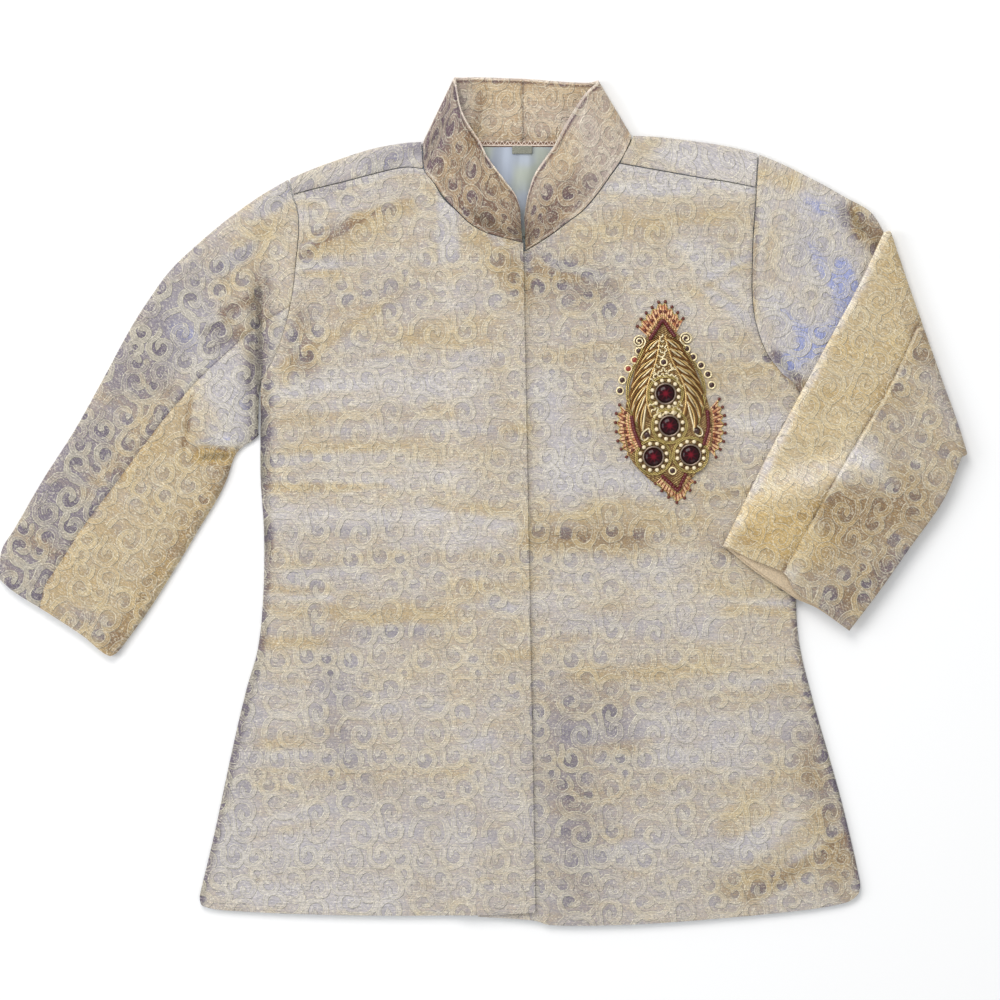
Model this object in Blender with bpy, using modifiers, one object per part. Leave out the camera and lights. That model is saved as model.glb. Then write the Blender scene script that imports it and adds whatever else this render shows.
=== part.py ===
"""A child's sherwani jacket in brocade, laid flat on its back with its left sleeve folded up over itself.

The frame is +Z up from the surface, +Y from the hem to the collar, +X to the wearer's left. All tables
are in millimetres. Each cut piece is one wall of cloth: a grid drawn from its seam lines, raised by the
height of the cloth at each place, and given its thickness by a Solidify modifier.
"""
import math

import bpy
from mathutils import Vector

MM = 0.001

# Driving sizes, in millimetres.
WALL = 1.4              # brocade with its lining
GAP = 0.3               # between pieces that meet at a seam or lie on each other
LAYER = WALL + GAP      # from one layer of cloth to the next
BACK_MID = WALL / 2     # the middle of the wall that lies on the surface
FRONT_MID = BACK_MID + LAYER
SIDE_ROLL = 5.0         # how far in from the side the front starts to roll down
ARMHOLE_EASE = 0.5      # the fronts stop this far inside the curved armhole seam
BACK_ARMHOLE_EASE = 1.1  # and the back this far
ARMHOLE_SHARE = 0.34    # the share of a panel's rows that its armhole takes, from the shoulder down
SHOULDER_TURN_R = 1.8   # the back's shoulder turns over to the front with this radius
SIDE_END = 0.35         # height of the front's turned-down side edge above the surface
BACK_INSET = 2.6        # the back ends this far inside the rolled sides and the hem
LAP_RISE = 1.9          # the right front climbs this far to pass over the left one
CHEST_DOME = 2.3        # how far the fronts stand above the back at the chest
CENTRE_X = 26.0
BODY_HALF = 178.0

COLLAR_WALL = 1.6
FOLD_FRONT_R = 1.8      # the inner layer's radius where the left sleeve folds over
FOLD_BACK_R = 3.65      # the outer layer's
FORE_LOW = FRONT_MID + 0.2 + 2 * FOLD_FRONT_R   # the folded forearm's lower layer
FORE_HIGH = BACK_MID + 2 * FOLD_BACK_R          # and its upper one
CUFF_OPEN = 1.9         # how far the folded cuff gapes
FACING_WALL = 1.0
SLEEVE_ROLL = 4.4       # how far in from a sleeve's edge it starts to come down
BACK_SEAM = 0.42        # where a sleeve's hidden seam lies, from its outer edge

COLOURS = {
    "brocade": (0.60, 0.52, 0.38),
    "collar_brocade": (0.42, 0.31, 0.20),
    "lining": (0.62, 0.66, 0.64),
    "piping": (0.72, 0.64, 0.55),
    "label": (0.36, 0.37, 0.33),
    "zari_gold": (0.62, 0.42, 0.14),
    "facing": (0.72, 0.60, 0.44),
    "garnet": (0.22, 0.01, 0.04),
}

# The largest folds of the fronts: a soft ridge (or trough, below zero) from one end to the other.
BODY_FOLDS = [
    # name,            x0,    y0,    x1,    y1, width, height
    ("shoulder_drag", -112,  146,   -50,   176,   9.0,   1.1),
    ("tip_drag",      -106,  181,   -86,   174,   5.0,   0.6),
    ("chest_right",    -70,  104,    18,   118,  12.0,   0.8),
    ("chest_trough",   -96,   84,    10,    92,  10.0,  -0.6),
    ("waist_right",    -92,   40,    20,    34,  11.0,   0.8),
    ("belly_right",   -120,  -26,     8,   -18,  12.0,  -0.7),
    ("hip_right",     -126,  -62,    22,   -56,  13.0,   0.8),
    ("skirt_right",   -118, -140,   -60,   -98,  12.0,   0.7),
    ("neck_left",       52,  160,   120,   172,  12.0,   0.7),
    ("armhole_left",   120,  150,   156,    96,   9.0,   0.7),
    ("waist_left",      38,    4,   128,     0,  10.0,   0.9),
    ("belly_left",      44,  -28,   120,   -36,  12.0,  -0.6),
    ("hip_left",        60, -100,   150,   -84,  14.0,   0.7),
    ("corner_left",    150, -226,   206,  -180,   9.0,   1.0),
    ("corner_trough",  138, -212,   186,  -166,   8.0,  -0.7),
]

# The left-hand drawing's sleeve (the wearer's right): a deep crease where its head tucks under at the
# body's side, and the small folds that run out of it.
RIGHT_SLEEVE_FOLDS = [
    # name,             x0,    y0,    x1,    y1, width, height
    ("tuck",         -135.8,  134, -134.6,    36,   3.4,  -4.2),
    ("tuck_fan_a",     -139,  116,   -172,   100,   5.0,   1.3),
    ("tuck_fan_b",     -140,   98,   -164,    90,   5.0,  -1.1),
    ("tuck_fan_c",     -140,  132,   -176,   122,   5.5,  -1.0),
    ("inner_crease",   -190,   77,   -161,    14,   4.5,  -1.3),
    ("pocket_fold",    -166,   33,   -146,    22,   5.0,  -1.5),
    ("elbow",          -236,   44,   -182,     8,  10.0,   0.9),
    ("head_drag",      -124,  178,   -150,   150,   7.0,   0.9),
]

LEFT_SLEEVE_FOLDS = [
    # name,           x0,    y0,    x1,    y1, width, height
    ("head_trough",   188,   186,   214,   148,   7.0,  -0.6),
    ("head_ridge",    172,   176,   196,   110,   9.0,   0.7),
]


# ---------------------------------------------------------------------------------- lines and heights

def smoothstep(value):
    value = min(max(value, 0.0), 1.0)
    return value * value * (3.0 - 2.0 * value)


def mix(a, b, share):
    return a * (1.0 - share) + b * share


def through(points):
    """A smooth line through the points; its parameter runs from 0 to 1 with the distance along it."""
    knots = [Vector(p) for p in points]
    lengths = [0.0]
    for a, b in zip(knots, knots[1:]):
        lengths.append(lengths[-1] + (b - a).length)
    last = len(knots) - 1

    def tangent(i):
        before = max(i - 1, 0)
        after = min(i + 1, last)
        return (knots[after] - knots[before]) / (lengths[after] - lengths[before])

    def at(u):
        distance = min(max(u, 0.0), 1.0) * lengths[-1]
        i = 0
        while i < last - 1 and lengths[i + 1] < distance:
            i += 1
        step = lengths[i + 1] - lengths[i]
        h = (distance - lengths[i]) / step
        h2, h3 = h * h, h * h * h
        return (
            knots[i] * (2 * h3 - 3 * h2 + 1)
            + tangent(i) * step * (h3 - 2 * h2 + h)
            + knots[i + 1] * (3 * h2 - 2 * h3)
            + tangent(i + 1) * step * (h3 - h2)
        )

    return at


def aside(line, distance):
    """The line moved this far to the left of its own direction."""
    def at(u):
        run = (line(min(u + 0.01, 1.0)) - line(max(u - 0.01, 0.0))).normalized()
        return line(u) + Vector((-run.y, run.x)) * distance

    return at


def chained(*pieces):
    """One edge of a panel from (share of the rows, line) pieces, which meet in corners."""
    def at(u):
        start = 0.0
        for share, line in pieces:
            if u <= start + share + 1e-9:
                return line((u - start) / share)
            start += share
        return pieces[-1][1](1.0)

    return at


def patch(top, bottom, outer, inner):
    """The surface (s, t) that four edges span: s runs down from top to bottom, t from outer to inner."""
    def at(s, t):
        across = mix(outer(s), inner(s), t)
        down = mix(top(t), bottom(t), s)
        corners = mix(mix(outer(0), inner(0), t), mix(outer(1), inner(1), t), s)
        return across + down - corners

    return at


def steps(start, end, count):
    return [start + (end - start) * i / count for i in range(count + 1)]


def fold_height(folds, x, y):
    total = 0.0
    for _, x0, y0, x1, y1, width, height in folds:
        run = Vector((x1 - x0, y1 - y0))
        place = Vector((x - x0, y - y0))
        along = place.dot(run) / run.length_squared
        aside = (place.x * run.y - place.y * run.x) / run.length
        ends = smoothstep((along + 0.15) / 0.4) * smoothstep((1.15 - along) / 0.4)
        total += height * ends * math.exp(-((aside / width) ** 2))
    return total


def dome(x, y):
    """How far the fronts stand off the back: most at the chest, little at the sides, neck and hem."""
    across = max(0.0, 1.0 - abs((x - CENTRE_X) / BODY_HALF) ** 3)
    if y > 40:
        down = mix(1.0, 0.55, smoothstep((y - 40) / 150))
    else:
        down = mix(1.0, 0.3, smoothstep((40 - y) / 270))
    return CHEST_DOME * across * down


def front_height(x, y):
    return FRONT_MID + max(0.0, dome(x, y) + fold_height(BODY_FOLDS, x, y))


def right_front_height(x, y):
    """As the left front, with the climb over its underlap."""
    lap_x = mix(LAP_TOP[0], LAP_HEM[0], (LAP_TOP[1] - y) / (LAP_TOP[1] - LAP_HEM[1]))
    return front_height(x, y) + LAP_RISE * smoothstep((x - lap_x + UNDERLAP + 18) / 14)


# ------------------------------------------------------------------------------------- seam lines

LAP_TOP = (24.2, 153.8)
LAP_HEM = (31.6, -247.2)
UNDERLAP = 34.0
NECK_Y = 213.0          # the straight back neck seam
COLLAR_SEAM_X = 24.0    # the collar's centre back seam

# The right front and its side of the back. A shoulder fold is where the back turns over to the front.
RIGHT_SHOULDER_FOLD = [(-116.2, 192.4), (-104.6, 197.4), (-91.2, 202.5), (-66.7, 210.4), (-47.0, 214.0),
                       (-36.8, 214.6)]
RIGHT_SHOULDER_SEAM = [(-114.3, 183.0), (-98.0, 187.2), (-82.8, 190.9), (-66.6, 195.2), (-47.0, 199.4),
                       (-36.0, 198.6)]
RIGHT_ARMHOLE = [(-114.3, 183.0), (-112.0, 177.0), (-110.6, 170.0), (-110.4, 160.0), (-112.0, 143.0),
                 (-114.0, 125.0), (-118.0, 106.0), (-124.4, 87.0), (-132.8, 71.4)]
RIGHT_SIDE = [(-132.8, 71.4), (-133.0, 52.0), (-133.2, 36.0), (-133.0, 12.0), (-131.0, -18.0),
              (-131.2, -54.0), (-134.4, -88.0), (-141.6, -114.0),
              (-150.0, -150.0), (-160.2, -198.0), (-169.2, -236.0)]
RIGHT_HEM = [(-169.2, -236.0), (-168.2, -243.2), (-146.0, -246.4), (-78.0, -248.8), (0.0, -248.6), LAP_HEM]
RIGHT_NECK = [(-36.0, 198.6), (-34.4, 195.8), (-29.4, 189.8), (-23.8, 180.6), (-16.2, 173.4), (-8.4, 165.8),
              (1.0, 160.3), (11.6, 157.0), LAP_TOP]

# The left front and its side of the back.
LEFT_SHOULDER_FOLD = [(165.0, 207.4), (152.9, 210.6), (139.1, 213.3), (121.8, 215.7), (104.6, 217.6),
                      (90.4, 218.3)]
LEFT_SHOULDER_SEAM = [(163.8, 187.4), (146.0, 190.9), (132.2, 192.9), (114.3, 196.1), (95.0, 199.5),
                      (82.2, 201.8)]
LEFT_ARMHOLE = [(163.8, 187.4), (163.2, 177.0), (161.4, 150.0), (161.8, 114.0), (168.4, 91.0), (178.6, 76.6),
                (186.6, 70.0), (190.2, 64.0)]
LEFT_SIDE = [(190.2, 64.0), (190.0, 40.0), (189.0, 0.0), (187.8, -40.0), (187.4, -66.0), (189.6, -88.0),
             (197.4, -120.0), (206.0, -150.0), (214.4, -180.0), (221.6, -210.0), (225.4, -228.0)]
LEFT_HEM = [(225.4, -228.0), (225.0, -236.0), (217.0, -241.4), (186.6, -246.4), (123.0, -252.2),
            (82.0, -254.6), (40.0, -254.6), (31.0, -252.0), (-3.0, -249.6)]
LEFT_NECK = [(82.2, 201.8), (76.8, 194.6), (69.4, 184.2), (60.2, 173.4), (51.0, 166.4), (40.4, 158.4),
             (25.6, 149.0)]
UNDERLAP_TOP = [(25.6, 149.0), (-9.6, 150.0)]
UNDERLAP_EDGE = [(-9.6, 150.0), (-3.0, -249.6)]
BACK_HEM = [(-166.9, -236.0), (-165.6, -240.8), (-146.0, -244.0), (-78.0, -246.4), (0.0, -246.4),
            (82.0, -252.0), (123.0, -249.8), (186.0, -244.0),
            (216.0, -239.2), (222.4, -235.0), (223.1, -228.0)]

# Sleeves: the outer edge runs from the shoulder fold, the inner one from under the arm.
RIGHT_TIP = RIGHT_SHOULDER_FOLD[0]
LEFT_TIP = LEFT_SHOULDER_FOLD[0]
RIGHT_SLEEVE_OUTER = [RIGHT_TIP, (-133.0, 182.6), (-153.6, 168.0), (-170.4, 154.0), (-187.2, 138.0),
                      (-200.4, 120.0), (-211.8, 102.0), (-228.0, 72.0), (-244.8, 42.0), (-264.0, 12.0),
                      (-281.4, -18.0), (-288.6, -30.0), (-290.0, -46.8)]
RIGHT_SLEEVE_BESIDE = [(-133.4, 70.6), (-134.2, 65.0), (-134.4, 54.0), (-134.8, 39.0)]
RIGHT_SLEEVE_INNER = [(-134.8, 39.0), (-138.6, 35.4), (-144.6, 31.6), (-149.4, 26.0), (-154.2, 12.0),
                      (-160.0, 0.0), (-171.0, -18.0), (-185.4, -42.0), (-202.2, -68.0), (-217.0, -88.0)]
RIGHT_CUFF = [(-290.0, -46.8), (-281.6, -54.4), (-262.0, -66.6), (-240.0, -81.0), (-223.6, -93.4),
              (-217.0, -88.0)]
LEFT_UPPER_OUTER = [LEFT_TIP, (180.6, 200.8), (203.4, 189.2), (216.0, 182.0), (231.8, 172.8)]
LEFT_UPPER_INNER = [(191.0, 64.6), (206.0, 57.6), (240.0, 40.0)]
FOLD_LINE = [(244.0, 161.6), (253.8, 132.4), (264.2, 102.6), (275.6, 70.4), (284.8, 45.0), (290.4, 27.0)]
LEFT_FORE_OUTER = [(226.4, 131.2), (202.2, 86.4), (172.0, 30.0), (143.6, -27.2)]
LEFT_FORE_INNER = [(275.4, 0.0), (254.4, -30.0), (237.6, -54.0), (219.2, -78.2)]
LEFT_CUFF_TOP = [(143.6, -27.2), (161.4, -35.8), (180.0, -43.8), (186.2, -54.3), (200.5, -64.1),
                 (219.2, -78.2)]
LEFT_CUFF_LOW = [(143.6, -27.2), (162.7, -42.6), (182.3, -55.6), (186.8, -58.8), (200.5, -65.0),
                 (219.2, -78.2)]

# The stand collar, section by section from its centre back seam, where it lies inside up, round the
# fold at its side and down to the centre front. A foot height of None means it meets the front there.
COLLAR_RIGHT = [
    # foot_x, foot_y, foot_z, top_x, top_y, top_z
    (23.85, 213.2, 0.8, 23.85, 252.6, 0.8),
    (8.0, 213.2, 0.8, 11.0, 253.0, 0.8),
    (-10.0, 213.2, 0.8, -1.0, 253.4, 0.8),
    (-23.0, 213.2, 0.8, -8.0, 253.4, 0.8),
    (-31.5, 213.3, 0.8, -12.4, 253.2, 0.9),
    (-34.2, 213.6, 1.3, -15.2, 253.2, 2.2),
    (-35.4, 213.6, 2.8, -16.6, 252.6, 4.6),
    (-35.6, 212.2, 3.9, -16.6, 251.0, 7.2),
    (-35.6, 209.0, 4.4, -15.7, 247.6, 8.8),
    (-35.6, 203.6, None, -15.0, 242.8, 9.2),
    (-34.0, 196.2, None, -12.8, 233.4, 9.2),
    (-29.0, 190.1, None, -8.2, 224.2, 8.9),
    (-23.0, 181.3, None, -2.1, 215.0, 8.5),
    (-15.8, 173.8, None, 2.4, 205.8, 8.1),
    (-8.0, 166.2, None, 8.4, 197.4, 7.8),
    (1.2, 160.7, None, 14.8, 189.0, 7.5),
    (11.8, 157.4, None, 19.4, 182.6, 7.3),
    (23.6, 154.3, None, 22.1, 174.6, 7.1),
]
COLLAR_LEFT = [
    # foot_x, foot_y, foot_z, top_x, top_y, top_z
    (24.15, 213.2, 0.8, 24.15, 252.6, 0.8),
    (42.0, 213.2, 0.8, 40.0, 251.4, 0.8),
    (60.0, 213.5, 0.8, 52.0, 250.5, 0.8),
    (74.0, 214.6, 0.8, 60.0, 250.2, 0.8),
    (84.2, 216.2, 0.8, 64.4, 250.4, 0.9),
    (87.0, 217.4, 1.3, 67.2, 251.0, 2.2),
    (88.2, 217.8, 2.8, 68.4, 250.8, 4.6),
    (88.2, 216.4, 3.9, 67.8, 249.2, 7.2),
    (86.9, 212.6, 4.4, 65.0, 246.8, 8.8),
    (84.4, 207.4, None, 60.2, 241.8, 9.2),
    (81.2, 202.0, None, 54.6, 233.4, 9.2),
    (76.2, 194.9, None, 48.5, 223.0, 8.8),
    (68.9, 184.6, None, 42.2, 211.6, 8.2),
    (59.8, 173.9, None, 35.8, 202.6, 7.6),
    (50.7, 166.9, None, 30.8, 194.8, 7.0),
    (40.2, 159.0, None, 27.6, 185.6, 6.4),
    (31.6, 153.4, None, 25.9, 177.6, 6.0),
    (25.5, 149.6, None, 24.9, 168.6, 5.6),
]

# The patch of back lining that shows in the neck, row by row.
LINING_ROWS = [
    # y, left_x, right_x
    (211.9, -20.0, 66.0),
    (200.0, -14.0, 60.0),
    (186.0, -4.0, 50.0),
    (172.0, 6.0, 42.0),
    (158.0, 14.0, 34.0),
]
LINING_WALL = 1.0
PIPING_R = 0.9
LABEL = (12.0, 4.6, 0.9)

# The sewn-on almond motif on the left chest. Its axis leans a little outwards on the way down.
BUTA_TIP = (106.8, 109.2)
BUTA_FOOT = (113.4, 1.8)
BUTA_WALL = 1.2
BUTA_OUTLINE = [
    # share of the way down, half of the width there
    (0.0, 0.6),
    (0.095, 9.0),
    (0.15, 13.2),
    (0.235, 16.8),
    (0.346, 19.8),
    (0.458, 24.0),
    (0.626, 26.4),
    (0.765, 24.0),
    (0.877, 15.0),
    (0.961, 4.8),
    (1.0, 0.6),
]
LEAF_ROWS = 9           # rows of couched gold leaves, which slope up to the almond's rim
LEAF_HEIGHT = 0.5
STONES = [
    # x, y
    (109.2, 63.6),
    (111.6, 44.4),
    (102.0, 25.8),
    (124.2, 27.0),
]
STONE_R = 5.2
STONE_HEIGHT = 3.0
STONE_FACETS = 16
BEZEL_INNER_R = STONE_R + GAP
BEZEL_OUTER_R = 6.6
BEZEL_HEIGHT = 1.6


# ------------------------------------------------------------------------------------------ making

def material(name):
    if name in bpy.data.materials:
        return bpy.data.materials[name]
    made = bpy.data.materials.new(name)
    made.use_nodes = True
    shader = made.node_tree.nodes["Principled BSDF"]
    shader.inputs["Base Color"].default_value = (*COLOURS[name], 1.0)
    shader.inputs["Roughness"].default_value = 0.1 if name == "garnet" else 0.6
    shader.inputs["Metallic"].default_value = 0.8 if name == "zari_gold" else 0.0
    return made


def add_object(name, mesh, colour):
    mesh.materials.append(material(colour))
    made = bpy.data.objects.new(name, mesh)
    jacket.objects.link(made)
    return made


def add_sheet(name, rows, colour, wall=WALL, faces=None):
    """A wall of cloth around a grid of points in millimetres."""
    mesh = bpy.data.meshes.new(name)
    width = len(rows[0])
    points = [Vector(p) * MM for row in rows for p in row]
    if faces is None:
        faces = grid_faces(len(rows), width)
    mesh.from_pydata(points, [], faces)
    made = add_object(name, mesh, colour)
    mesh.shade_smooth()
    thick = made.modifiers.new("wall", "SOLIDIFY")
    thick.thickness = wall * MM
    thick.offset = 0.0
    return made


def grid_faces(rows, width, first=0):
    faces = []
    for i in range(rows - 1):
        for j in range(width - 1):
            a = first + i * width + j
            faces.append((a, a + 1, a + width + 1, a + width))
    return faces


def front_rows(surface, height, rows, columns):
    """A front's grid. Below the armhole its side rolls down to the surface."""
    grid = []
    for s in rows:
        rolled = smoothstep((s - ARMHOLE_SHARE) / 0.05)
        outer, inner = surface(s, 0.0), surface(s, 1.0)
        width = (inner - outer).length
        row = []
        for angle in (0, 22, 45, 67, 90):
            turn = math.radians(angle)
            inset = mix(ARMHOLE_EASE, WALL / 2, rolled) + SIDE_ROLL * (1.0 - math.cos(turn))
            place = surface(s, inset / width)
            full = height(place.x, place.y)
            rolled_down = mix(SIDE_END, full, math.sin(turn))
            row.append((place.x, place.y, mix(full, rolled_down, rolled)))
        start = (WALL / 2 + SIDE_ROLL) / width
        for t in steps(start, 1.0 - GAP / 2 / width, columns)[1:]:
            place = surface(s, t)
            row.append((place.x, place.y, height(place.x, place.y)))
        grid.append(row)
    return grid


def outer_edge(armhole_line, side_line):
    return chained((ARMHOLE_SHARE, armhole_line), (1.0 - ARMHOLE_SHARE, side_line))


def add_fronts():
    top = 0.0015        # the first row lies this share below the shoulder seam
    neck = 0.2          # the share of the right front's rows beside the neck
    right = patch(
        through(RIGHT_SHOULDER_SEAM),
        through(RIGHT_HEM),
        outer_edge(through(RIGHT_ARMHOLE), through(RIGHT_SIDE)),
        chained((neck, through(RIGHT_NECK)), (1.0 - neck, through([LAP_TOP, LAP_HEM]))),
    )
    rows = steps(top, neck, 6) + steps(neck, ARMHOLE_SHARE, 4)[1:] + steps(ARMHOLE_SHARE, 1.0, 16)[1:]
    add_sheet("front_right", front_rows(right, right_front_height, rows, 14), "brocade")

    neck, lap = 0.17, 0.24      # the left front's rows beside the neck, and to the end of the underlap's top
    inner = chained(
        (neck, through(LEFT_NECK)),
        (lap - neck, through(UNDERLAP_TOP)),
        (1.0 - lap, through(UNDERLAP_EDGE)),
    )
    left = patch(
        through(LEFT_SHOULDER_SEAM),
        through(LEFT_HEM),
        outer_edge(through(LEFT_ARMHOLE), through(LEFT_SIDE)),
        inner,
    )
    rows = steps(top, neck, 5) + steps(neck, lap, 2)[1:] + steps(lap, ARMHOLE_SHARE, 3)[1:]
    rows += steps(ARMHOLE_SHARE, 1.0, 16)[1:]
    grid = front_rows(left, front_height, rows, 16)
    for row in grid:
        row.reverse()
    add_sheet("front_left", grid, "brocade")


def turned_shoulder(fold, seam, height):
    """Where the flat back ends below a shoulder fold, and what turns over from there to the seam."""
    def flat_end(t):
        inwards = (seam(t) - fold(t)).normalized()
        return fold(t) + inwards * (WALL / 2 + SHOULDER_TURN_R)

    def turned(t):
        out = (fold(t) - seam(t)).normalized()
        root = flat_end(t)
        top = height(root.x, root.y)
        column = []
        for angle in (-60, -20, 20, 60, 90):
            turn = math.radians(angle)
            place = root + out * SHOULDER_TURN_R * math.cos(turn)
            column.append((place.x, place.y, mix(BACK_MID, top, (1 + math.sin(turn)) / 2)))
        for share in (0.5, 1.0):
            place = mix(root, seam(t) + out * GAP, share)
            column.append((place.x, place.y, height(place.x, place.y)))
        return column

    return flat_end, turned


def add_back():
    """The back lies flat. Its shoulders turn over to the forward shoulder seams."""
    right_end, right_turned = turned_shoulder(
        through(RIGHT_SHOULDER_FOLD), through(RIGHT_SHOULDER_SEAM), right_front_height
    )
    left_end, left_turned = turned_shoulder(
        through(LEFT_SHOULDER_FOLD), through(LEFT_SHOULDER_SEAM), front_height
    )
    neck_y = NECK_Y - GAP
    neck = through([right_end(1.0), (-30.0, neck_y), (COLLAR_SEAM_X, neck_y), (60.0, neck_y), left_end(1.0)])
    right_share, neck_share, left_share = 0.24, 0.50, 0.26
    top = chained((right_share, right_end), (neck_share, neck), (left_share, lambda t: left_end(1.0 - t)))
    right = outer_edge(
        aside(through([right_end(0.0)] + RIGHT_ARMHOLE), BACK_ARMHOLE_EASE),
        aside(through(RIGHT_SIDE), BACK_INSET),
    )
    left = outer_edge(
        aside(through([left_end(0.0)] + LEFT_ARMHOLE), -BACK_ARMHOLE_EASE),
        aside(through(LEFT_SIDE), -BACK_INSET),
    )
    flat = patch(right, left, top, through(BACK_HEM))

    shoulder_columns, neck_columns = 7, 8
    columns = steps(0.0, right_share, shoulder_columns)
    columns += steps(right_share, 1.0 - left_share, neck_columns)[1:]
    columns += steps(1.0 - left_share, 1.0, shoulder_columns)[1:]
    rows = steps(0.0, ARMHOLE_SHARE, 9) + steps(ARMHOLE_SHARE, 1.0, 9)[1:]
    points = []
    for t in rows:
        for s in columns:
            place = flat(s, t)
            points.append((place.x, place.y, BACK_MID))
    faces = [face[::-1] for face in grid_faces(len(rows), len(columns))]

    ends = steps(0.006, 1.0, shoulder_columns)
    shoulders = (
        (0, [right_turned(t) for t in ends]),
        (shoulder_columns + neck_columns, [left_turned(t) for t in reversed(ends)]),
    )
    for first_column, strips in shoulders:
        above = list(range(first_column, first_column + len(strips)))
        for i in range(len(strips[0])):
            below = list(range(len(points), len(points) + len(strips)))
            points += [strip[i] for strip in strips]
            faces += [(above[j], above[j + 1], below[j + 1], below[j]) for j in range(shoulder_columns)]
            above = below
    add_sheet("back_panel", [points], "brocade", faces=faces)


def add_collar(name, sections, height):
    grid = []
    for foot_x, foot_y, foot_z, top_x, top_y, top_z in sections:
        if foot_z is None:
            foot_z = height(foot_x, foot_y)
        crown = 0.8 * smoothstep((top_z - 2.0) / 5.0)
        row = []
        for share in steps(0.0, 1.0, 4):
            z = mix(foot_z, top_z, share) + crown * math.sin(math.pi * share)
            row.append((mix(foot_x, top_x, share), mix(foot_y, top_y, share), z))
        grid.append(row)
    return add_sheet(name, grid, "collar_brocade", wall=COLLAR_WALL)


def add_neck():
    middle = BACK_MID + WALL / 2 + GAP + LINING_WALL / 2
    grid = [[(mix(a, b, share), y, middle) for share in steps(0.0, 1.0, 6)] for y, a, b in LINING_ROWS]
    add_sheet("neck_lining", grid, "lining", wall=LINING_WALL)

    route = bpy.data.curves.new("neck_piping", "CURVE")
    route.dimensions = "3D"
    route.bevel_depth = PIPING_R * MM
    route.bevel_resolution = 2
    route.use_fill_caps = True
    line = route.splines.new("POLY")
    stops = steps(-14.0, 60.0, 6)
    line.points.add(len(stops) - 1)
    for point, x in zip(line.points, stops):
        point.co = (x * MM, (NECK_Y + 0.5) * MM, (COLLAR_WALL + GAP + PIPING_R) * MM, 1.0)
    route.materials.append(material("piping"))
    jacket.objects.link(bpy.data.objects.new("neck_piping", route))

    width, depth, thick = LABEL
    label_mid = middle + (LINING_WALL + thick) / 2 + GAP
    label_x = COLLAR_SEAM_X - 0.5
    label_top = NECK_Y - 1.0
    grid = []
    for y in (label_top, label_top - depth):
        grid.append([(label_x + width * share, y, label_mid) for share in (-0.5, 0.0, 0.5)])
    add_sheet("neck_label", grid, "label", wall=thick)


def sleeve_rows(stations, front, back, seam, outer, columns):
    """One panel of a flattened sleeve: from the seam on its front, round its edge, to the seam behind.

    stations are (width, place) pairs; front(place, t) and back(place, t) give its two layers. The edge is
    a tight turn of the cloth, and the front comes down to it from its full height.
    """
    turn_r = LAYER / 2
    grid = []
    for width, place in stations:
        edge = WALL / 2 / width
        roll = SLEEVE_ROLL / width
        line = GAP / 2 / width
        start = (seam(place) - line) if outer else (1.0 - seam(place) - line)
        behind = BACK_SEAM - line if outer else 1.0 - BACK_SEAM - line

        def flip(t):
            return t if outer else 1.0 - t

        def pressed(t, lift):
            """The front layer where it is pressed down to the back one, and lifted off it by a share."""
            low, full = back(place, t), front(place, t)
            return mix(low + (full - low).normalized() * LAYER, full, lift)

        row = [front(place, flip(t)) for t in steps(start, edge + roll, columns)]
        row.append(pressed(flip(edge + roll / 2), 0.6))
        for angle in (0, 90, 180):
            turn = math.radians(angle)
            t = flip(edge + turn_r / width * (1.0 - math.sin(turn)))
            row.append(mix(pressed(t, 0.0), back(place, t), (1.0 - math.cos(turn)) / 2))
        row += [back(place, flip(t)) for t in steps(edge + roll, behind, columns)]
        grid.append(row)
    return grid


def add_right_sleeve():
    in_armhole = 0.816      # the rest of the sleeve's top edge lies beside the body, below the armhole
    head = chained(
        (in_armhole, through([RIGHT_TIP] + RIGHT_ARMHOLE)),
        (1.0 - in_armhole, through(RIGHT_SLEEVE_BESIDE)),
    )
    outline = patch(head, through(RIGHT_CUFF), through(RIGHT_SLEEVE_OUTER), through(RIGHT_SLEEVE_INNER))

    def front(s, t):
        place = outline(s, t)
        own = FRONT_MID + mix(2.4, 1.7, s) + 0.7 * math.sin(math.pi * t)
        z = mix(right_front_height(place.x, place.y), own, smoothstep(s / 0.16))
        z = max(z + fold_height(RIGHT_SLEEVE_FOLDS, place.x, place.y), FRONT_MID + 0.05)
        return Vector((place.x, place.y, z))

    def back(s, t):
        place = outline(s, t)
        return Vector((place.x, place.y, BACK_MID))

    def seam(s):
        return mix(0.50, 0.34, smoothstep(s * 1.2))

    columns = 6         # one of them falls on the corner below the armhole
    stations = []
    for s in steps(0.0022, 1.0, 21):
        stations.append(((outline(s, 1.0) - outline(s, 0.0)).length, s))
    add_sheet("sleeve_right_top", sleeve_rows(stations, front, back, seam, True, columns), "brocade")
    rows = sleeve_rows(stations, front, back, seam, False, columns)
    for row in rows:
        row.reverse()
    add_sheet("sleeve_right_under", rows, "brocade")


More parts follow.
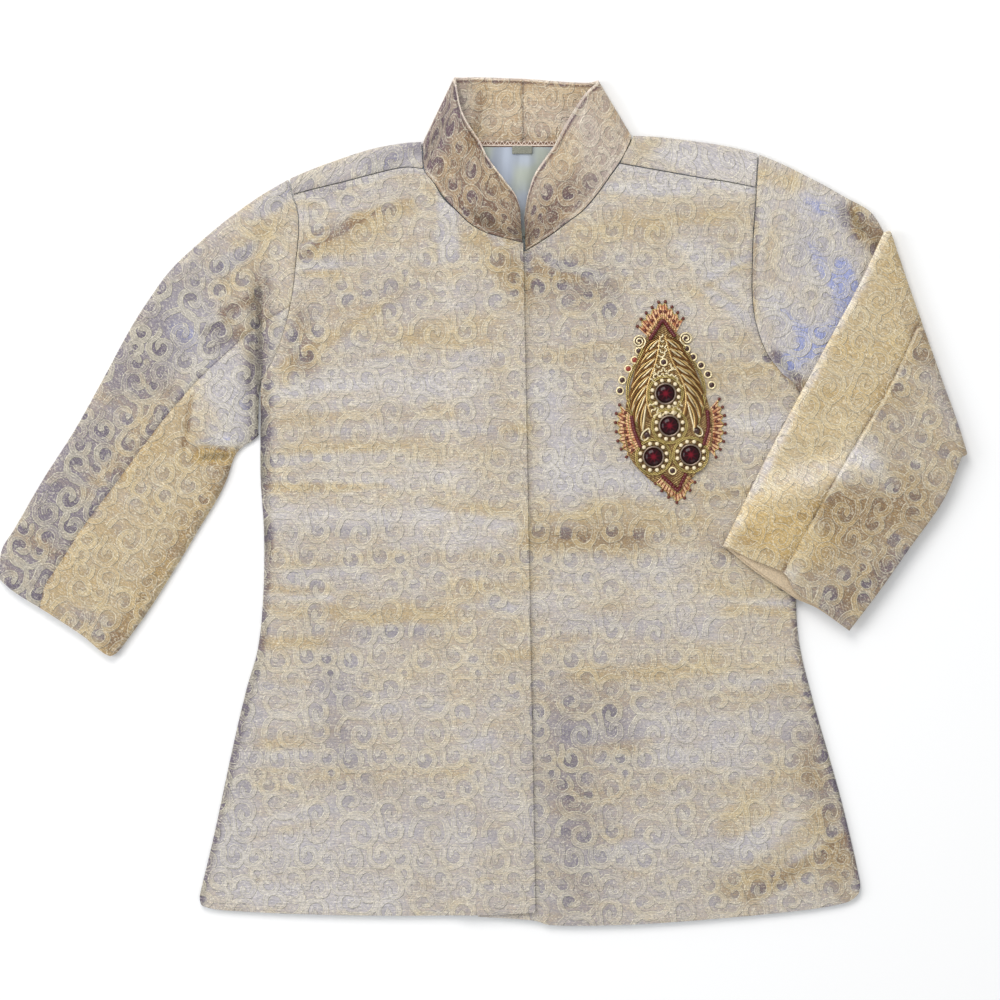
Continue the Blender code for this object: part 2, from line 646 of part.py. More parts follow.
def add_left_sleeve():
    fold = aside(through(FOLD_LINE), -(FOLD_BACK_R + WALL / 2))
    armhole = through([LEFT_TIP] + LEFT_ARMHOLE)
    upper = patch(
        armhole,
        fold,
        through(LEFT_UPPER_OUTER + [tuple(fold(0.0))]),
        through(LEFT_UPPER_INNER + [tuple(fold(1.0))]),
    )
    fore_outer = through([tuple(fold(0.0))] + LEFT_FORE_OUTER)
    fore_inner = through([tuple(fold(1.0))] + LEFT_FORE_INNER)
    fore_low = patch(fold, through(LEFT_CUFF_LOW), fore_outer, fore_inner)
    fore_high = patch(fold, through(LEFT_CUFF_TOP), fore_outer, fore_inner)
    fold_run = fold(1.0) - fold(0.0)
    out = Vector((-fold_run.y, fold_run.x)).normalized()

    def turned(t, angle, low_z, radius):
        turn = math.radians(angle)
        place = fold(t) + out * radius * math.sin(turn)
        return Vector((place.x, place.y, low_z + radius * (1.0 - math.cos(turn))))

    def front(place, t):
        stretch, along = place
        if stretch == "turn":
            return turned(t, along, FRONT_MID + 0.2, FOLD_FRONT_R)
        if stretch == "fore":
            spot = fore_low(along, t)
            return Vector((spot.x, spot.y, FORE_LOW))
        spot = upper(along, t)
        body = front_height(spot.x, spot.y) + fold_height(LEFT_SLEEVE_FOLDS, spot.x, spot.y)
        puff = 0.7 * math.sin(math.pi * t) * smoothstep(along / 0.2) * smoothstep((1.0 - along) / 0.5)
        return Vector((spot.x, spot.y, mix(body, FRONT_MID + 0.2, smoothstep(along)) + puff))

    def back(place, t):
        stretch, along = place
        if stretch == "turn":
            return turned(t, along, BACK_MID, FOLD_BACK_R)
        if stretch == "fore":
            spot = fore_high(along, t)
            swell = 1.1 * smoothstep(along / 0.3) + CUFF_OPEN * smoothstep((along - 0.55) / 0.45)
            return Vector((spot.x, spot.y, FORE_HIGH + swell * math.sin(math.pi * t)))
        spot = upper(along, t)
        return Vector((spot.x, spot.y, BACK_MID))

    def seam(place):
        return 0.47

    stations = []
    for along in steps(0.0065, 1.0, 8):
        width = (upper(along, 1.0) - upper(along, 0.0)).length
        stations.append((width, ("upper", along)))
    for angle in (30, 60, 90, 120, 150):
        stations.append((fold_run.length, ("turn", angle)))
    for along in steps(0.0, 1.0, 14):
        width = (fore_low(along, 1.0) - fore_low(along, 0.0)).length
        stations.append((width, ("fore", along)))
    columns = 5
    add_sheet("sleeve_left_top", sleeve_rows(stations, front, back, seam, True, columns), "brocade")
    rows = sleeve_rows(stations, front, back, seam, False, columns)
    for row in rows:
        row.reverse()
    add_sheet("sleeve_left_under", rows, "brocade")

    facing_z = FORE_LOW + WALL / 2 + GAP + FACING_WALL / 2
    grid = []
    for along in (0.925, 0.96, 0.994):
        spots = [fore_low(along, t) for t in steps(0.13, 0.86, 14)]
        grid.append([(spot.x, spot.y, facing_z) for spot in spots])
    add_sheet("cuff_facing_left", grid, "facing", wall=FACING_WALL)


def buta_height(x, y):
    """The underside of the almond motif, which follows the left front."""
    return front_height(x, y) + WALL / 2 + GAP


def leaf_relief(x, y, down, across):
    """Couched leaves and a raised rim on the motif, but not under the stones."""
    leaves = 0.5 + 0.5 * math.cos(2.0 * math.pi * (LEAF_ROWS * down + 1.2 * across))
    leaves *= smoothstep((across - 0.25) / 0.25)
    rim = math.exp(-(((across - 0.85) / 0.12) ** 2))
    nearest = min(math.hypot(x - stone_x, y - stone_y) for stone_x, stone_y in STONES)
    return LEAF_HEIGHT * max(leaves, rim) * smoothstep((nearest - BEZEL_OUTER_R) / 4.0)


def add_buta():
    """The motif's stiff base: a plain underside, and a top that carries the leaves."""
    axis = Vector(BUTA_FOOT) - Vector(BUTA_TIP)
    across = Vector((-axis.y, axis.x)).normalized()

    def edge(side):
        return through([Vector(BUTA_TIP) + axis * down + across * half * side for down, half in BUTA_OUTLINE])

    left, right = edge(1.0), edge(-1.0)
    rows, columns = 32, 10
    under, over = [], []
    for down in steps(0.0, 1.0, rows):
        for share in steps(0.0, 1.0, columns):
            place = mix(left(down), right(down), share)
            low = buta_height(place.x, place.y)
            relief = leaf_relief(place.x, place.y, down, abs(2.0 * share - 1.0))
            under.append(Vector((place.x, place.y, low)) * MM)
            over.append(Vector((place.x, place.y, low + BUTA_WALL + relief)) * MM)
    width = columns + 1
    faces = [face[::-1] for face in grid_faces(rows + 1, width)]
    faces += grid_faces(rows + 1, width, first=len(under))
    rim = list(range(width))
    rim += [i * width + columns for i in range(1, rows + 1)]
    rim += [rows * width + j for j in reversed(range(columns))]
    rim += [i * width for i in reversed(range(1, rows))]
    for a, b in zip(rim, rim[1:] + rim[:1]):
        faces.append((a, b, b + len(under), a + len(under)))
    mesh = bpy.data.meshes.new("buta_base")
    mesh.from_pydata(under + over, [], faces)
    mesh.shade_smooth()
    add_object("buta_base", mesh, "zari_gold")


def add_turned(name, profile, colour, place, closed):
    """A turned piece: the profile's (radius, height) points run down its outer side."""
    points = [Vector((radius, 0.0, height)) * MM for radius, height in profile]
    edges = [(i, i + 1) for i in range(len(points) - 1)]
    if closed:
        edges.append((len(points) - 1, 0))
    mesh = bpy.data.meshes.new(name)
    mesh.from_pydata(points, edges, [])
    made = add_object(name, mesh, colour)
    made.location = Vector(place) * MM
    screw = made.modifiers.new("turn", "SCREW")
    screw.steps = STONE_FACETS
    screw.render_steps = STONE_FACETS
    screw.use_merge_vertices = True
    screw.merge_threshold = 0.0001


def add_stones():
    """Cabochons on the motif, each in its own raised bezel."""
    shoulder = 0.9      # the height at which a stone's dome starts
    dome_height = STONE_HEIGHT - shoulder
    dome_points = []
    for angle in (90, 66, 42, 18, 0):
        turn = math.radians(angle)
        dome_points.append((STONE_R * math.cos(turn), shoulder + dome_height * math.sin(turn)))
    dome_points[0] = (0.0, STONE_HEIGHT)
    stone = dome_points + [(STONE_R, 0.0), (0.0, 0.0)]
    chamfer = 0.3
    bezel = [
        (BEZEL_OUTER_R - chamfer, BEZEL_HEIGHT),
        (BEZEL_OUTER_R, BEZEL_HEIGHT - chamfer),
        (BEZEL_OUTER_R, 0.0),
        (BEZEL_INNER_R, 0.0),
        (BEZEL_INNER_R, BEZEL_HEIGHT),
    ]
    for number, (x, y) in enumerate(STONES, start=1):
        around = [(x + dx, y + dy) for dx in (-BEZEL_OUTER_R, 0.0, BEZEL_OUTER_R)
                  for dy in (-BEZEL_OUTER_R, 0.0, BEZEL_OUTER_R)]
        seat = max(buta_height(*spot) for spot in around) + BUTA_WALL + GAP
        add_turned(f"stone_{number}", stone, "garnet", (x, y, seat), False)
        add_turned(f"bezel_{number}", bezel, "zari_gold", (x, y, seat), True)


def scene_setup():
    for old in list(bpy.data.objects):
        bpy.data.objects.remove(old, do_unlink=True)
    made = bpy.data.collections.new("sherwani_jacket")
    bpy.context.scene.collection.children.link(made)
    return made


jacket = scene_setup()
add_back()
add_fronts()
add_collar("collar_right", COLLAR_RIGHT, right_front_height)
add_collar("collar_left", COLLAR_LEFT, front_height)
add_neck()
add_right_sleeve()
add_left_sleeve()
add_buta()
add_stones()
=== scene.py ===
"""The looks of a child's sherwani jacket: shot brocade in gold and lilac with a scroll pattern, a stand
collar, and a zardozi almond sewn on the left chest. It lies flat on its back, left sleeve folded over."""
import math

import bmesh
import bpy
import numpy as np
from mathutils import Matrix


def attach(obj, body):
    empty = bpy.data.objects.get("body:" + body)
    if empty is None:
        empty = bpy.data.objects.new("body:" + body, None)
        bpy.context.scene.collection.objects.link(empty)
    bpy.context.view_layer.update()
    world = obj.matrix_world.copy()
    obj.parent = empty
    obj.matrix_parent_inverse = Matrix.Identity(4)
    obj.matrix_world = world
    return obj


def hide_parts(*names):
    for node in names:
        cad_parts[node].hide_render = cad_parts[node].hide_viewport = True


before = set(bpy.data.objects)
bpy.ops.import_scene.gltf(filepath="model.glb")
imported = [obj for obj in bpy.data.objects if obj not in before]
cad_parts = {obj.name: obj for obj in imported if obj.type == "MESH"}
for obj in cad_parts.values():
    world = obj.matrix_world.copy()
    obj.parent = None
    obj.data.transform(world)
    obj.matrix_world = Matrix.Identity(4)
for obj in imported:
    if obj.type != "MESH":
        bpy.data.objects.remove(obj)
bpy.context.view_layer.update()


# ------------------------------------------------------------------------ table, light and camera
# A white table top. The light is that of a bright room: wide soft windows above the collar and at the
# left, a weaker one at the hem. The camera looks straight down, from far enough off to see no sides.

MM = 0.001
VIEW_WIDTH = 600 * MM
VIEW_CENTRE_X = 10.2 * MM
CAMERA_HEIGHT = 2.4
SENSOR = 36.0
TABLE_SIZE = 8.0
TABLE_Z = -0.2 * MM


def new_material(name, **settings):
    """A material, its nodes and its shader, whose sockets are set by name."""
    made = bpy.data.materials.new(name)
    made.use_nodes = True
    shader = made.node_tree.nodes["Principled BSDF"]
    for socket, value in settings.items():
        shader.inputs[socket.replace("_", " ")].default_value = value
    return made, made.node_tree, shader


bpy.ops.mesh.primitive_plane_add(size=TABLE_SIZE, location=(0.0, 0.0, TABLE_Z))
table = bpy.context.object
table.name = "table_top"
table.data.materials.append(
    new_material("white_table", Base_Color=(0.93, 0.93, 0.93, 1.0), Roughness=0.9)[0])

room = bpy.data.worlds.new("room")
room.use_nodes = True
room_light = room.node_tree.nodes["Background"].inputs
room_light["Color"].default_value = (0.96, 0.98, 1.0, 1.0)
room_light["Strength"].default_value = 0.62
bpy.context.scene.world = room

WINDOWS = [
    # name,          x,    y,    z,   side, power, colour
    ("window_head", -0.5,  1.3,  1.5, 1.1,  21.5, (1.0, 0.98, 0.95)),
    ("window_left", -1.6,  0.1,  1.1, 1.0,  12.0, (0.98, 0.98, 1.0)),
    ("window_hem",   0.7, -1.5,  1.4, 1.2,  4.6, (1.0, 0.99, 0.97)),
]
for name, x, y, z, side, power, colour in WINDOWS:
    light = bpy.data.lights.new(name, "AREA")
    light.shape = "SQUARE"
    light.size = side
    light.energy = power
    light.color = colour
    lamp = bpy.data.objects.new(name, light)
    lamp.location = (x, y, z)
    lamp.rotation_euler = lamp.location.to_track_quat("Z", "Y").to_euler()
    bpy.context.scene.collection.objects.link(lamp)

lens = bpy.data.cameras.new("camera")
lens.sensor_width = SENSOR
lens.lens = SENSOR * CAMERA_HEIGHT / VIEW_WIDTH
lens.clip_end = 20.0
camera = bpy.data.objects.new("camera", lens)
camera.location = (VIEW_CENTRE_X, 0.0, CAMERA_HEIGHT)
bpy.context.scene.collection.objects.link(camera)
bpy.context.scene.camera = camera
bpy.context.scene.view_settings.view_transform = "Standard"


# --------------------------------------------------------------------------------- the brocade
# A silk-blend jacquard, woven with lilac and gold threads that cross, so that each turn of the cloth
# shows more of one or of the other. That shot sheen is painted on: each piece carries a gold attribute
# for the painted sheen, and a depth attribute for painted shade, a painted highlight below zero. Pale
# flat scrolls float on the ground, outlined by a fine cord, in a repeat of 44 by 60 mm, and uneven slubs
# run across. It is cut and sewn into every outer piece.

REPEAT = (44.0, 60.0, 2.0)      # mm
SCROLLS = [
    # Each row is a line of arcs that run on from one another: the first arc's centre and the angle that
    # it starts from, then a radius and a sweep for each arc, in mm and degrees, clockwise below zero. A
    # radius below zero bends the other way, as a stem does before its curl.
    # x, y, start, (radius, sweep) ...
    (12, -19.4, 190, (11.2, -215), (6.2, -190), (3, -180)),
    (12.8, 1.2, 10, (11.6, -165), (5.8, -180), (2.9, -160)),
    (19.4, 3.6, 200, (4, 230), (2, 120)), (12.6, -13.4, 155, (-14, 45), (6.4, -245), (3, -185)),
    (33.2, -18.6, 150, (5.6, 240), (2.8, 170)), (-6.4, -30.5, 204, (-10, -44), (6.2, 265), (3.1, 180)),
    (11.4, -31.2, 208, (-9, -38), (6, 250), (2.9, 170)),
    (28.7, -26.6, 184, (-8, -44), (4.7, 265), (2.4, 150)),
    (31.9, -44.5, 46, (-8, -36), (5.5, 265), (2.8, 160)), (32.8, -52, 195, (6.4, -240), (3.1, -180)),
    (41, -43.8, -70, (3.7, 250), (1.9, 120)), (3.6, -51, 60, (5, -240), (2.5, -160)),
]
EYES = [
    # x, y, radius: where the ground shows darkest, inside the curls
    (5.6, -20.2, 4), (17.4, -21.6, 3.8), (6.6, 0, 4), (19, 3.4, 3), (31.8, -7, 4.6), (33.2, -18.4, 4),
    (8.8, -36.4, 4.5), (26.4, -34, 4.3), (38.4, -35, 3.2), (18.6, -47, 4), (32.8, -52.6, 4.6),
    (41, -43.8, 2.4), (3.4, -51.2, 3.6),
]
BAND_HALF = 1.5         # mm, from the middle of a scroll to its cord
END_TAPER = 4.0         # how fast a scroll ends
FAR = 50.0              # mm, from any scroll
SWAY = 2.4              # mm, by which the weave strays

# How the two colours of thread look where the cloth shows lilac or gold, lit or in painted shade: the
# shaded colours are darker copies of the pale ones.
GROUND = {"pale_lilac": (190, 185, 188), "pale_gold": (196, 175, 137),
          "shaded_lilac": (118, 109, 121), "shaded_gold": (140, 114, 84)}
# A painted bluish reflection, mixed in where the painted sheen runs far to lilac.
COLD_SHEEN = (148, 158, 208)
# A painted warm sheen, mixed in where the painted sheen runs far to gold.
WARM_SHEEN = (206, 174, 106)
LIGHT_THREAD = (246, 239, 218)
SCROLL = {"pale_lilac": (204, 198, 190), "pale_gold": (207, 189, 149),
          "shaded_lilac": (180, 173, 150), "shaded_gold": (190, 163, 114)}


def linear(rgb):
    """A screen colour, 0 to 255, as the colour that a shader works with."""
    shares = [value / 255 for value in rgb]
    return tuple(s / 12.92 if s < 0.04045 else ((s + 0.055) / 1.055) ** 2.4 for s in shares) + (1.0,)


def feed(tree, socket, value):
    if isinstance(value, bpy.types.NodeSocket):
        tree.links.new(value, socket)
    else:
        socket.default_value = value


def number(tree, operation, *values):
    node = tree.nodes.new("ShaderNodeMath")
    node.operation = operation
    for socket, value in zip(node.inputs, values):
        feed(tree, socket, value)
    return node.outputs[0]


def vector(tree, operation, *values):
    node = tree.nodes.new("ShaderNodeVectorMath")
    node.operation = operation
    for socket, value in zip(node.inputs, values):
        feed(tree, socket, value)
    return node.outputs["Value" if operation in ("LENGTH", "DOT_PRODUCT") else "Vector"]


def product(tree, first, *others):
    for other in others:
        first = number(tree, "MULTIPLY", first, other)
    return first


def apart(tree, a, b):
    return number(tree, "ABSOLUTE", number(tree, "SUBTRACT", a, b))


def ramp(tree, value, low, high, at_low=0.0, at_high=1.0):
    """Goes smoothly from one level to another as the value goes from low to high."""
    node = tree.nodes.new("ShaderNodeMapRange")
    node.interpolation_type = "SMOOTHSTEP"
    for name, setting in (("Value", value), ("From Min", low), ("From Max", high),
                          ("To Min", at_low), ("To Max", at_high)):
        feed(tree, node.inputs[name], setting)
    return node.outputs[0]


def noise(tree, place, scales, detail=2.0, roughness=0.5):
    """Noise with this many spots each way to a unit of the place."""
    node = tree.nodes.new("ShaderNodeTexNoise")
    feed(tree, node.inputs["Vector"], vector(tree, "MULTIPLY", place, scales))
    node.inputs["Scale"].default_value = 1.0
    node.inputs["Detail"].default_value = detail
    node.inputs["Roughness"].default_value = roughness
    return node.outputs[0]


def grain_place(tree):
    """Where the threads run, in mm."""
    grain = tree.nodes.new("ShaderNodeUVMap")
    grain.uv_map = "grain"
    return vector(tree, "MULTIPLY", grain.outputs[0], (1.0 / MM, 1.0 / MM, 1.0 / MM))


def object_place(tree):
    return tree.nodes.new("ShaderNodeTexCoord").outputs["Object"]


def slubby(tree, place, across, along, detail=2.0, roughness=0.5):
    """Noise whose spots are this many mm long each way."""
    return noise(tree, place, (1.0 / across, 1.0 / along, 1.0), detail, roughness)


def raise_by(tree, shader, height, depth):
    """Makes the surface stand up where the height is above 0: by this many mm where it is 1."""
    bump = tree.nodes.new("ShaderNodeBump")
    bump.inputs["Distance"].default_value = depth * MM
    feed(tree, bump.inputs["Height"], height)
    feed(tree, shader.inputs["Normal"], bump.outputs[0])


def tint(tree, share, a, b, mode="MIX"):
    node = tree.nodes.new("ShaderNodeMix")
    node.data_type = "RGBA"
    node.blend_type = mode
    feed(tree, node.inputs[0], share)
    feed(tree, node.inputs[6], a)
    feed(tree, node.inputs[7], b)
    return node.outputs[2]


def attribute(tree, name):
    node = tree.nodes.new("ShaderNodeAttribute")
    node.attribute_name = name
    return node.outputs["Fac"]


def new_group(name, inputs, outputs):
    tree = bpy.data.node_groups.new(name, "ShaderNodeTree")
    for socket, kind in inputs:
        tree.interface.new_socket(socket, in_out="INPUT", socket_type=kind)
    for socket in outputs:
        tree.interface.new_socket(socket, in_out="OUTPUT", socket_type="NodeSocketFloat")
    return tree, tree.nodes.new("NodeGroupInput").outputs, tree.nodes.new("NodeGroupOutput").inputs


def use_group(tree, group, **values):
    node = tree.nodes.new("ShaderNodeGroup")
    node.node_tree = group
    for name, value in values.items():
        feed(tree, node.inputs[name], value)
    return node.outputs


def from_centre(tree, place, centre):
    """The way to the place from the centre, or from its like in the nearest repeat."""
    half = tuple(side / 2 for side in REPEAT)
    offset = vector(tree, "SUBTRACT", place, centre)
    return vector(tree, "WRAP", offset, half, tuple(-side for side in half))


def make_arc_group():
    """How far a place is from one arc of a scroll."""
    inputs = [(name, "NodeSocketVector") for name in ("place", "centre", "backward")]
    inputs += [(name, "NodeSocketFloat") for name in ("radius", "reach")]
    tree, given, result = new_group("scroll_arc", inputs, ["distance"])
    offset = from_centre(tree, given["place"], given["centre"])
    away = vector(tree, "LENGTH", offset)
    backward = vector(tree, "DOT_PRODUCT", offset, given["backward"])
    past_end = number(tree, "MULTIPLY_ADD", away, given["reach"], backward)
    past_end.node.use_clamp = True
    off_line = apart(tree, away, given["radius"])
    feed(tree, result["distance"], number(tree, "MULTIPLY_ADD", past_end, END_TAPER, off_line))
    return tree


def scroll_arcs():
    """(centre, radius, middle angle, half sweep) of each arc of the scrolls."""
    for x, y, start, *arcs in SCROLLS:
        last_radius = arcs[0][0]
        for radius, sweep in arcs:
            turn = math.radians(start)
            x += (last_radius - radius) * math.cos(turn)
            y += (last_radius - radius) * math.sin(turn)
            middle = math.radians(start + sweep / 2) + (math.pi if radius < 0 else 0.0)
            yield (x, y, 0.0), abs(radius), middle, math.radians(abs(sweep) / 2)
            start += sweep
            last_radius = radius


def make_scroll_group():
    """How far a place on the cloth, in mm, is from the middle of a scroll and outside an eye."""
    tree, given, result = new_group("scroll_repeat", [("place", "NodeSocketVector")], ["line", "eye"])
    arc = make_arc_group()
    nearest = FAR
    for centre, radius, middle, half_sweep in scroll_arcs():
        backward = (-math.cos(middle), -math.sin(middle), 0.0)
        found = use_group(tree, arc, place=given["place"], centre=centre, backward=backward,
                          radius=radius, reach=math.cos(half_sweep))
        nearest = number(tree, "MINIMUM", nearest, found["distance"])
    eye = FAR
    for x, y, radius in EYES:
        away = vector(tree, "LENGTH", from_centre(tree, given["place"], (x, y, 0.0)))
        eye = number(tree, "MINIMUM", eye, number(tree, "SUBTRACT", away, radius))
    feed(tree, result["line"], nearest)
    feed(tree, result["eye"], eye)
    return tree


def two_tone(tree, shader, share, dark, light):
    feed(tree, shader.inputs["Base Color"], tint(tree, share, linear(dark), linear(light)))


# The pale colours, turning to their darker copies as the painted shade rises.
def four_colours(tree, colours, gold, depth):
    pale = tint(tree, gold, linear(colours["pale_lilac"]), linear(colours["pale_gold"]))
    deep = tint(tree, gold, linear(colours["shaded_lilac"]), linear(colours["shaded_gold"]))
    return tint(tree, depth, pale, deep)


scroll_repeat = make_scroll_group()


def make_brocade(name, ground=GROUND, scroll=SCROLL):
    """The cloth's look. Each piece gives its threads' run (UV, in metres), its painted sheen (gold) and its
    painted shade (depth).
    """
    material, tree, shader = new_material(
        name, Specular_IOR_Level=0.30, Sheen_Weight=0.08, Sheen_Roughness=0.45,
        Sheen_Tint=linear((250, 236, 214)))

    def times(*values):
        return product(tree, *values)

    def plus(a, amount, b):
        """b, with this much of a added."""
        return number(tree, "MULTIPLY_ADD", a, amount, b)

    def varied(spots, amount, value):
        """The value, moved up and down by this much of the spots, whose middle is a half."""
        return plus(number(tree, "SUBTRACT", spots, 0.5), amount, value)

    place = grain_place(tree)
    wander = tree.nodes.new("ShaderNodeTexNoise")
    feed(tree, wander.inputs["Vector"], place)
    wander.inputs["Scale"].default_value = 0.12
    wander.inputs["Detail"].default_value = 1.0
    sway = vector(tree, "SUBTRACT", wander.outputs["Color"], (0.5, 0.5, 0.5))
    swayed = vector(tree, "ADD", place, vector(tree, "MULTIPLY", sway, (SWAY, SWAY, 0.0)))
    pattern = use_group(tree, scroll_repeat, place=swayed)
    band = ramp(tree, pattern["line"], BAND_HALF + 0.3, BAND_HALF - 0.3)
    cord = ramp(tree, apart(tree, pattern["line"], BAND_HALF), 0.5, 0.1)
    strand = ramp(tree, pattern["line"], 0.4, 0.1)

    # The threads: fibres and slubs along the weft, wider clouds, and curls and worn places of the floats.
    fibre = slubby(tree, place, 2.0, 0.8, roughness=0.7)
    slub = slubby(tree, place, 14.0, 0.9, roughness=0.6)
    cloudy = slubby(tree, place, 24.0, 10.0, roughness=0.6)
    curly = slubby(tree, place, 2.3, 1.9, detail=1.0)
    squiggle = ramp(tree, apart(tree, curly, 0.5), 0.045, 0.008)
    worn = slubby(tree, place, 19.0, 15.0, detail=1.0)
    clear = ramp(tree, worn, 0.36, 0.62, 0.22, 1.0)
    stand_out = ramp(tree, attribute(tree, "depth"), 0.1, 0.6, 0.25, 1.1)
    satin = ramp(tree, attribute(tree, "gold"), 0.85, 1.15, 1.0, 0.3)
    eye = times(ramp(tree, pattern["eye"], 0.6, -0.6), clear, stand_out, satin)

    # Which thread shows, by the painted sheen, and how much painted shade. Far out of their range
    # the sheen turns to a painted cold reflection at one end and a painted warm sheen at the other;
    # the shade turns to a painted highlight below zero and a painted crease shadow above one.
    gold = varied(fibre, 0.8, varied(cloudy, 0.9, attribute(tree, "gold")))
    cold_sheen = ramp(tree, gold, -0.25, -1.0, 0.0, 0.8)
    gold = plus(eye, -0.32, gold)
    warm_sheen = ramp(tree, gold, 0.9, 1.7, 0.0, 0.6)
    gold = ramp(tree, gold, 0.0, 1.0)
    depth = varied(slub, 0.5, attribute(tree, "depth"))
    lit = times(ramp(tree, depth, 0.1, -0.9, 1.0, 1.30), ramp(tree, depth, 1.0, 2.0, 1.0, 0.55))
    depth = ramp(tree, depth, 0.0, 1.0)
    # The eyes' darker ground, added to the painted shade.
    shade_and_eye = plus(eye, 0.22, depth)
    shade_and_eye.node.use_clamp = True

    ground_colour = tint(tree, cold_sheen, four_colours(tree, ground, gold, shade_and_eye), linear(COLD_SHEEN))
    scroll_colour = four_colours(tree, scroll, gold, depth)
    float_share = times(plus(cord, 0.38, times(band, 0.62)), clear)
    colour = tint(tree, float_share, ground_colour, scroll_colour)
    colour = tint(tree, warm_sheen, colour, linear(WARM_SHEEN))
    light_thread = number(tree, "MAXIMUM", cord, times(strand, 0.4))
    light_thread = times(light_thread, ramp(tree, fibre, 0.36, 0.56, 0.45, 1.0))
    light_thread = number(tree, "MAXIMUM", light_thread, times(squiggle, 0.8))
    colour = tint(tree, times(light_thread, 0.50), colour, linear(LIGHT_THREAD))
    beside_cord = apart(tree, pattern["line"], BAND_HALF + 0.65)
    shadow = ramp(tree, beside_cord, 0.45, 0.1, 1.0, ramp(tree, slub, 0.36, 0.60, 0.86, 1.0))
    in_eye = plus(times(eye, band), 0.10, plus(eye, -0.10, 1.0))
    streak = ramp(tree, slub, 0.30, 0.72, 0.85, 1.12)
    speckle = ramp(tree, fibre, 0.28, 0.72, 0.78, 1.18)
    shading = times(streak, speckle, times(shadow, in_eye), lit)
    feed(tree, shader.inputs["Base Color"], tint(tree, 1.0, colour, shading, "MULTIPLY"))

    height = times(band, 0.32)
    for part, amount in ((cord, 0.30), (squiggle, 0.12), (fibre, 0.40), (slub, 0.20)):
        height = plus(part, amount, height)
    raise_by(tree, shader, height, 1.0)
    feed(tree, shader.inputs["Roughness"], ramp(tree, float_share, 0.0, 1.0, 0.58, 0.42))
    return material


brocade = make_brocade("brocade")

lining, tree, shader = new_material("lining_satin", Roughness=0.38)
place = object_place(tree)
soft = noise(tree, place, (160.0, 24.0, 160.0), detail=1.0)
blue = noise(tree, place, (40.0, 40.0, 40.0), detail=1.0)
satin = tint(tree, ramp(tree, blue, 0.40, 0.60), linear((162, 168, 158)), linear((164, 172, 186)))
satin = tint(tree, 1.0, satin, ramp(tree, soft, 0.3, 0.7, 0.86, 1.12), "MULTIPLY")
feed(tree, shader.inputs["Base Color"], satin)


# -------------------------------------------------------------------------------- the two fronts
# Each front is one piece of brocade, backed with satin, cut from shoulder to hem. The wearer's right one
# laps over the left. The sides roll down to the table, and the cloth stands a little off the back. All
# tables are in millimetres, with the collar at +Y and the wearer's left at +X.

WALL = 1.4
GAP = 0.3               # between layers
LAYER = WALL + GAP
BACK_MID = WALL / 2
FRONT_MID = BACK_MID + LAYER
SIDE_ROLL = 5.0
SIDE_END = 0.35         # the height at which a side ends
ROLL_ROWS = 10
ARMHOLE_SHARE = 0.34    # of the way from shoulder to hem
ARMHOLE_EASE = 0.5
# The sides are painted in shade where they roll down to the table: over this width, and this much.
ROLL_SHADE_WIDTH = 10.0              # the width of a side's darker rim
ROLL_SHADE = 1.1
# Levels of the painted sheen and painted shade on the body, between the strokes.
BODY_GOLD = 0.50        # how gold and how deep the body is between the strokes
BODY_SHADE = 0.26
MOST_GOLD = 0.85
# Below this the painted sheen shows more lilac.
SKIRT_Y = -60.0         # below it the cloth shows more lilac
SKIRT_LILAC = 0.12
LAP_RISE = 1.9
LAP_CLIMB = 14.0        # the width over which the right front climbs
CLIMB_AHEAD = 18.0      # of the underlap's edge
CHEST_DOME = 2.3
CHEST_Y = 40.0          # where it stands highest
CHEST_TO_SHOULDER = 150.0
CHEST_TO_HEM = 270.0
CENTRE_X = 26.0
BODY_HALF = 178.0
UNDERLAP = 34.0
TOP_SHARE = 0.0015      # what the shoulder seam takes off a front
SEAM_DIP = 0.75
NO_SEAM = 40.0          # too far from a seam for it to show

LAP_TOP = (24.2, 153.8)
LAP_HEM = (31.6, -247.2)
RIGHT_SHOULDER_SEAM = [
    (-114.3, 183), (-98, 187.2), (-82.8, 190.9), (-66.6, 195.2), (-47, 199.4), (-36, 198.6),
]
RIGHT_ARMHOLE = [
    (-114.3, 183), (-112, 177), (-110.6, 170), (-110.4, 160), (-112, 143), (-114, 125), (-118, 106),
    (-124.4, 87), (-132.8, 71.4),
]
RIGHT_SIDE = [
    (-132.8, 71.4), (-133, 52), (-133.2, 36), (-133, 12), (-131, -18), (-131.2, -54), (-134.4, -88),
    (-141.6, -114), (-150, -150), (-160.2, -198), (-169.2, -236),
]
RIGHT_HEM = [(-169.2, -236), (-168.2, -243.2), (-146, -246.4), (-78, -248.8), (0, -248.6), LAP_HEM]
RIGHT_NECK = [
    (-36, 198.6), (-34.4, 195.8), (-29.4, 189.8), (-23.8, 180.6), (-16.2, 173.4), (-8.4, 165.8), (1, 160.3),
    (11.6, 157), LAP_TOP,
]
LEFT_SHOULDER_SEAM = [
    (163.8, 187.4), (146, 190.9), (132.2, 192.9), (114.3, 196.1), (95, 199.5), (82.2, 201.8),
]
LEFT_ARMHOLE = [
    (163.8, 187.4), (163.2, 177), (161.4, 150), (161.8, 114), (168.4, 91), (178.6, 76.6), (186.6, 70),
    (190.2, 64),
]
LEFT_SIDE = [
    (190.2, 64), (190, 40), (189, 0), (187.8, -40), (187.4, -66), (189.6, -88), (197.4, -120), (206, -150),
    (214.4, -180), (221.6, -210), (225.4, -228),
]
LEFT_HEM = [
    (225.4, -228), (225, -236), (217, -241.4), (186.6, -246.4), (123, -252.2), (82, -254.6), (40, -254.6),
    (31, -252), (-3, -249.6),
]
LEFT_NECK = [
    (82.2, 201.8), (76.8, 194.6), (69.4, 184.2), (60.2, 173.4), (51, 166.4), (40.4, 158.4), (25.6, 149),
]
UNDERLAP_TOP = [(25.6, 149.0), (-9.6, 150.0)]
UNDERLAP_EDGE = [(-9.6, 150.0), (-3.0, -249.6)]

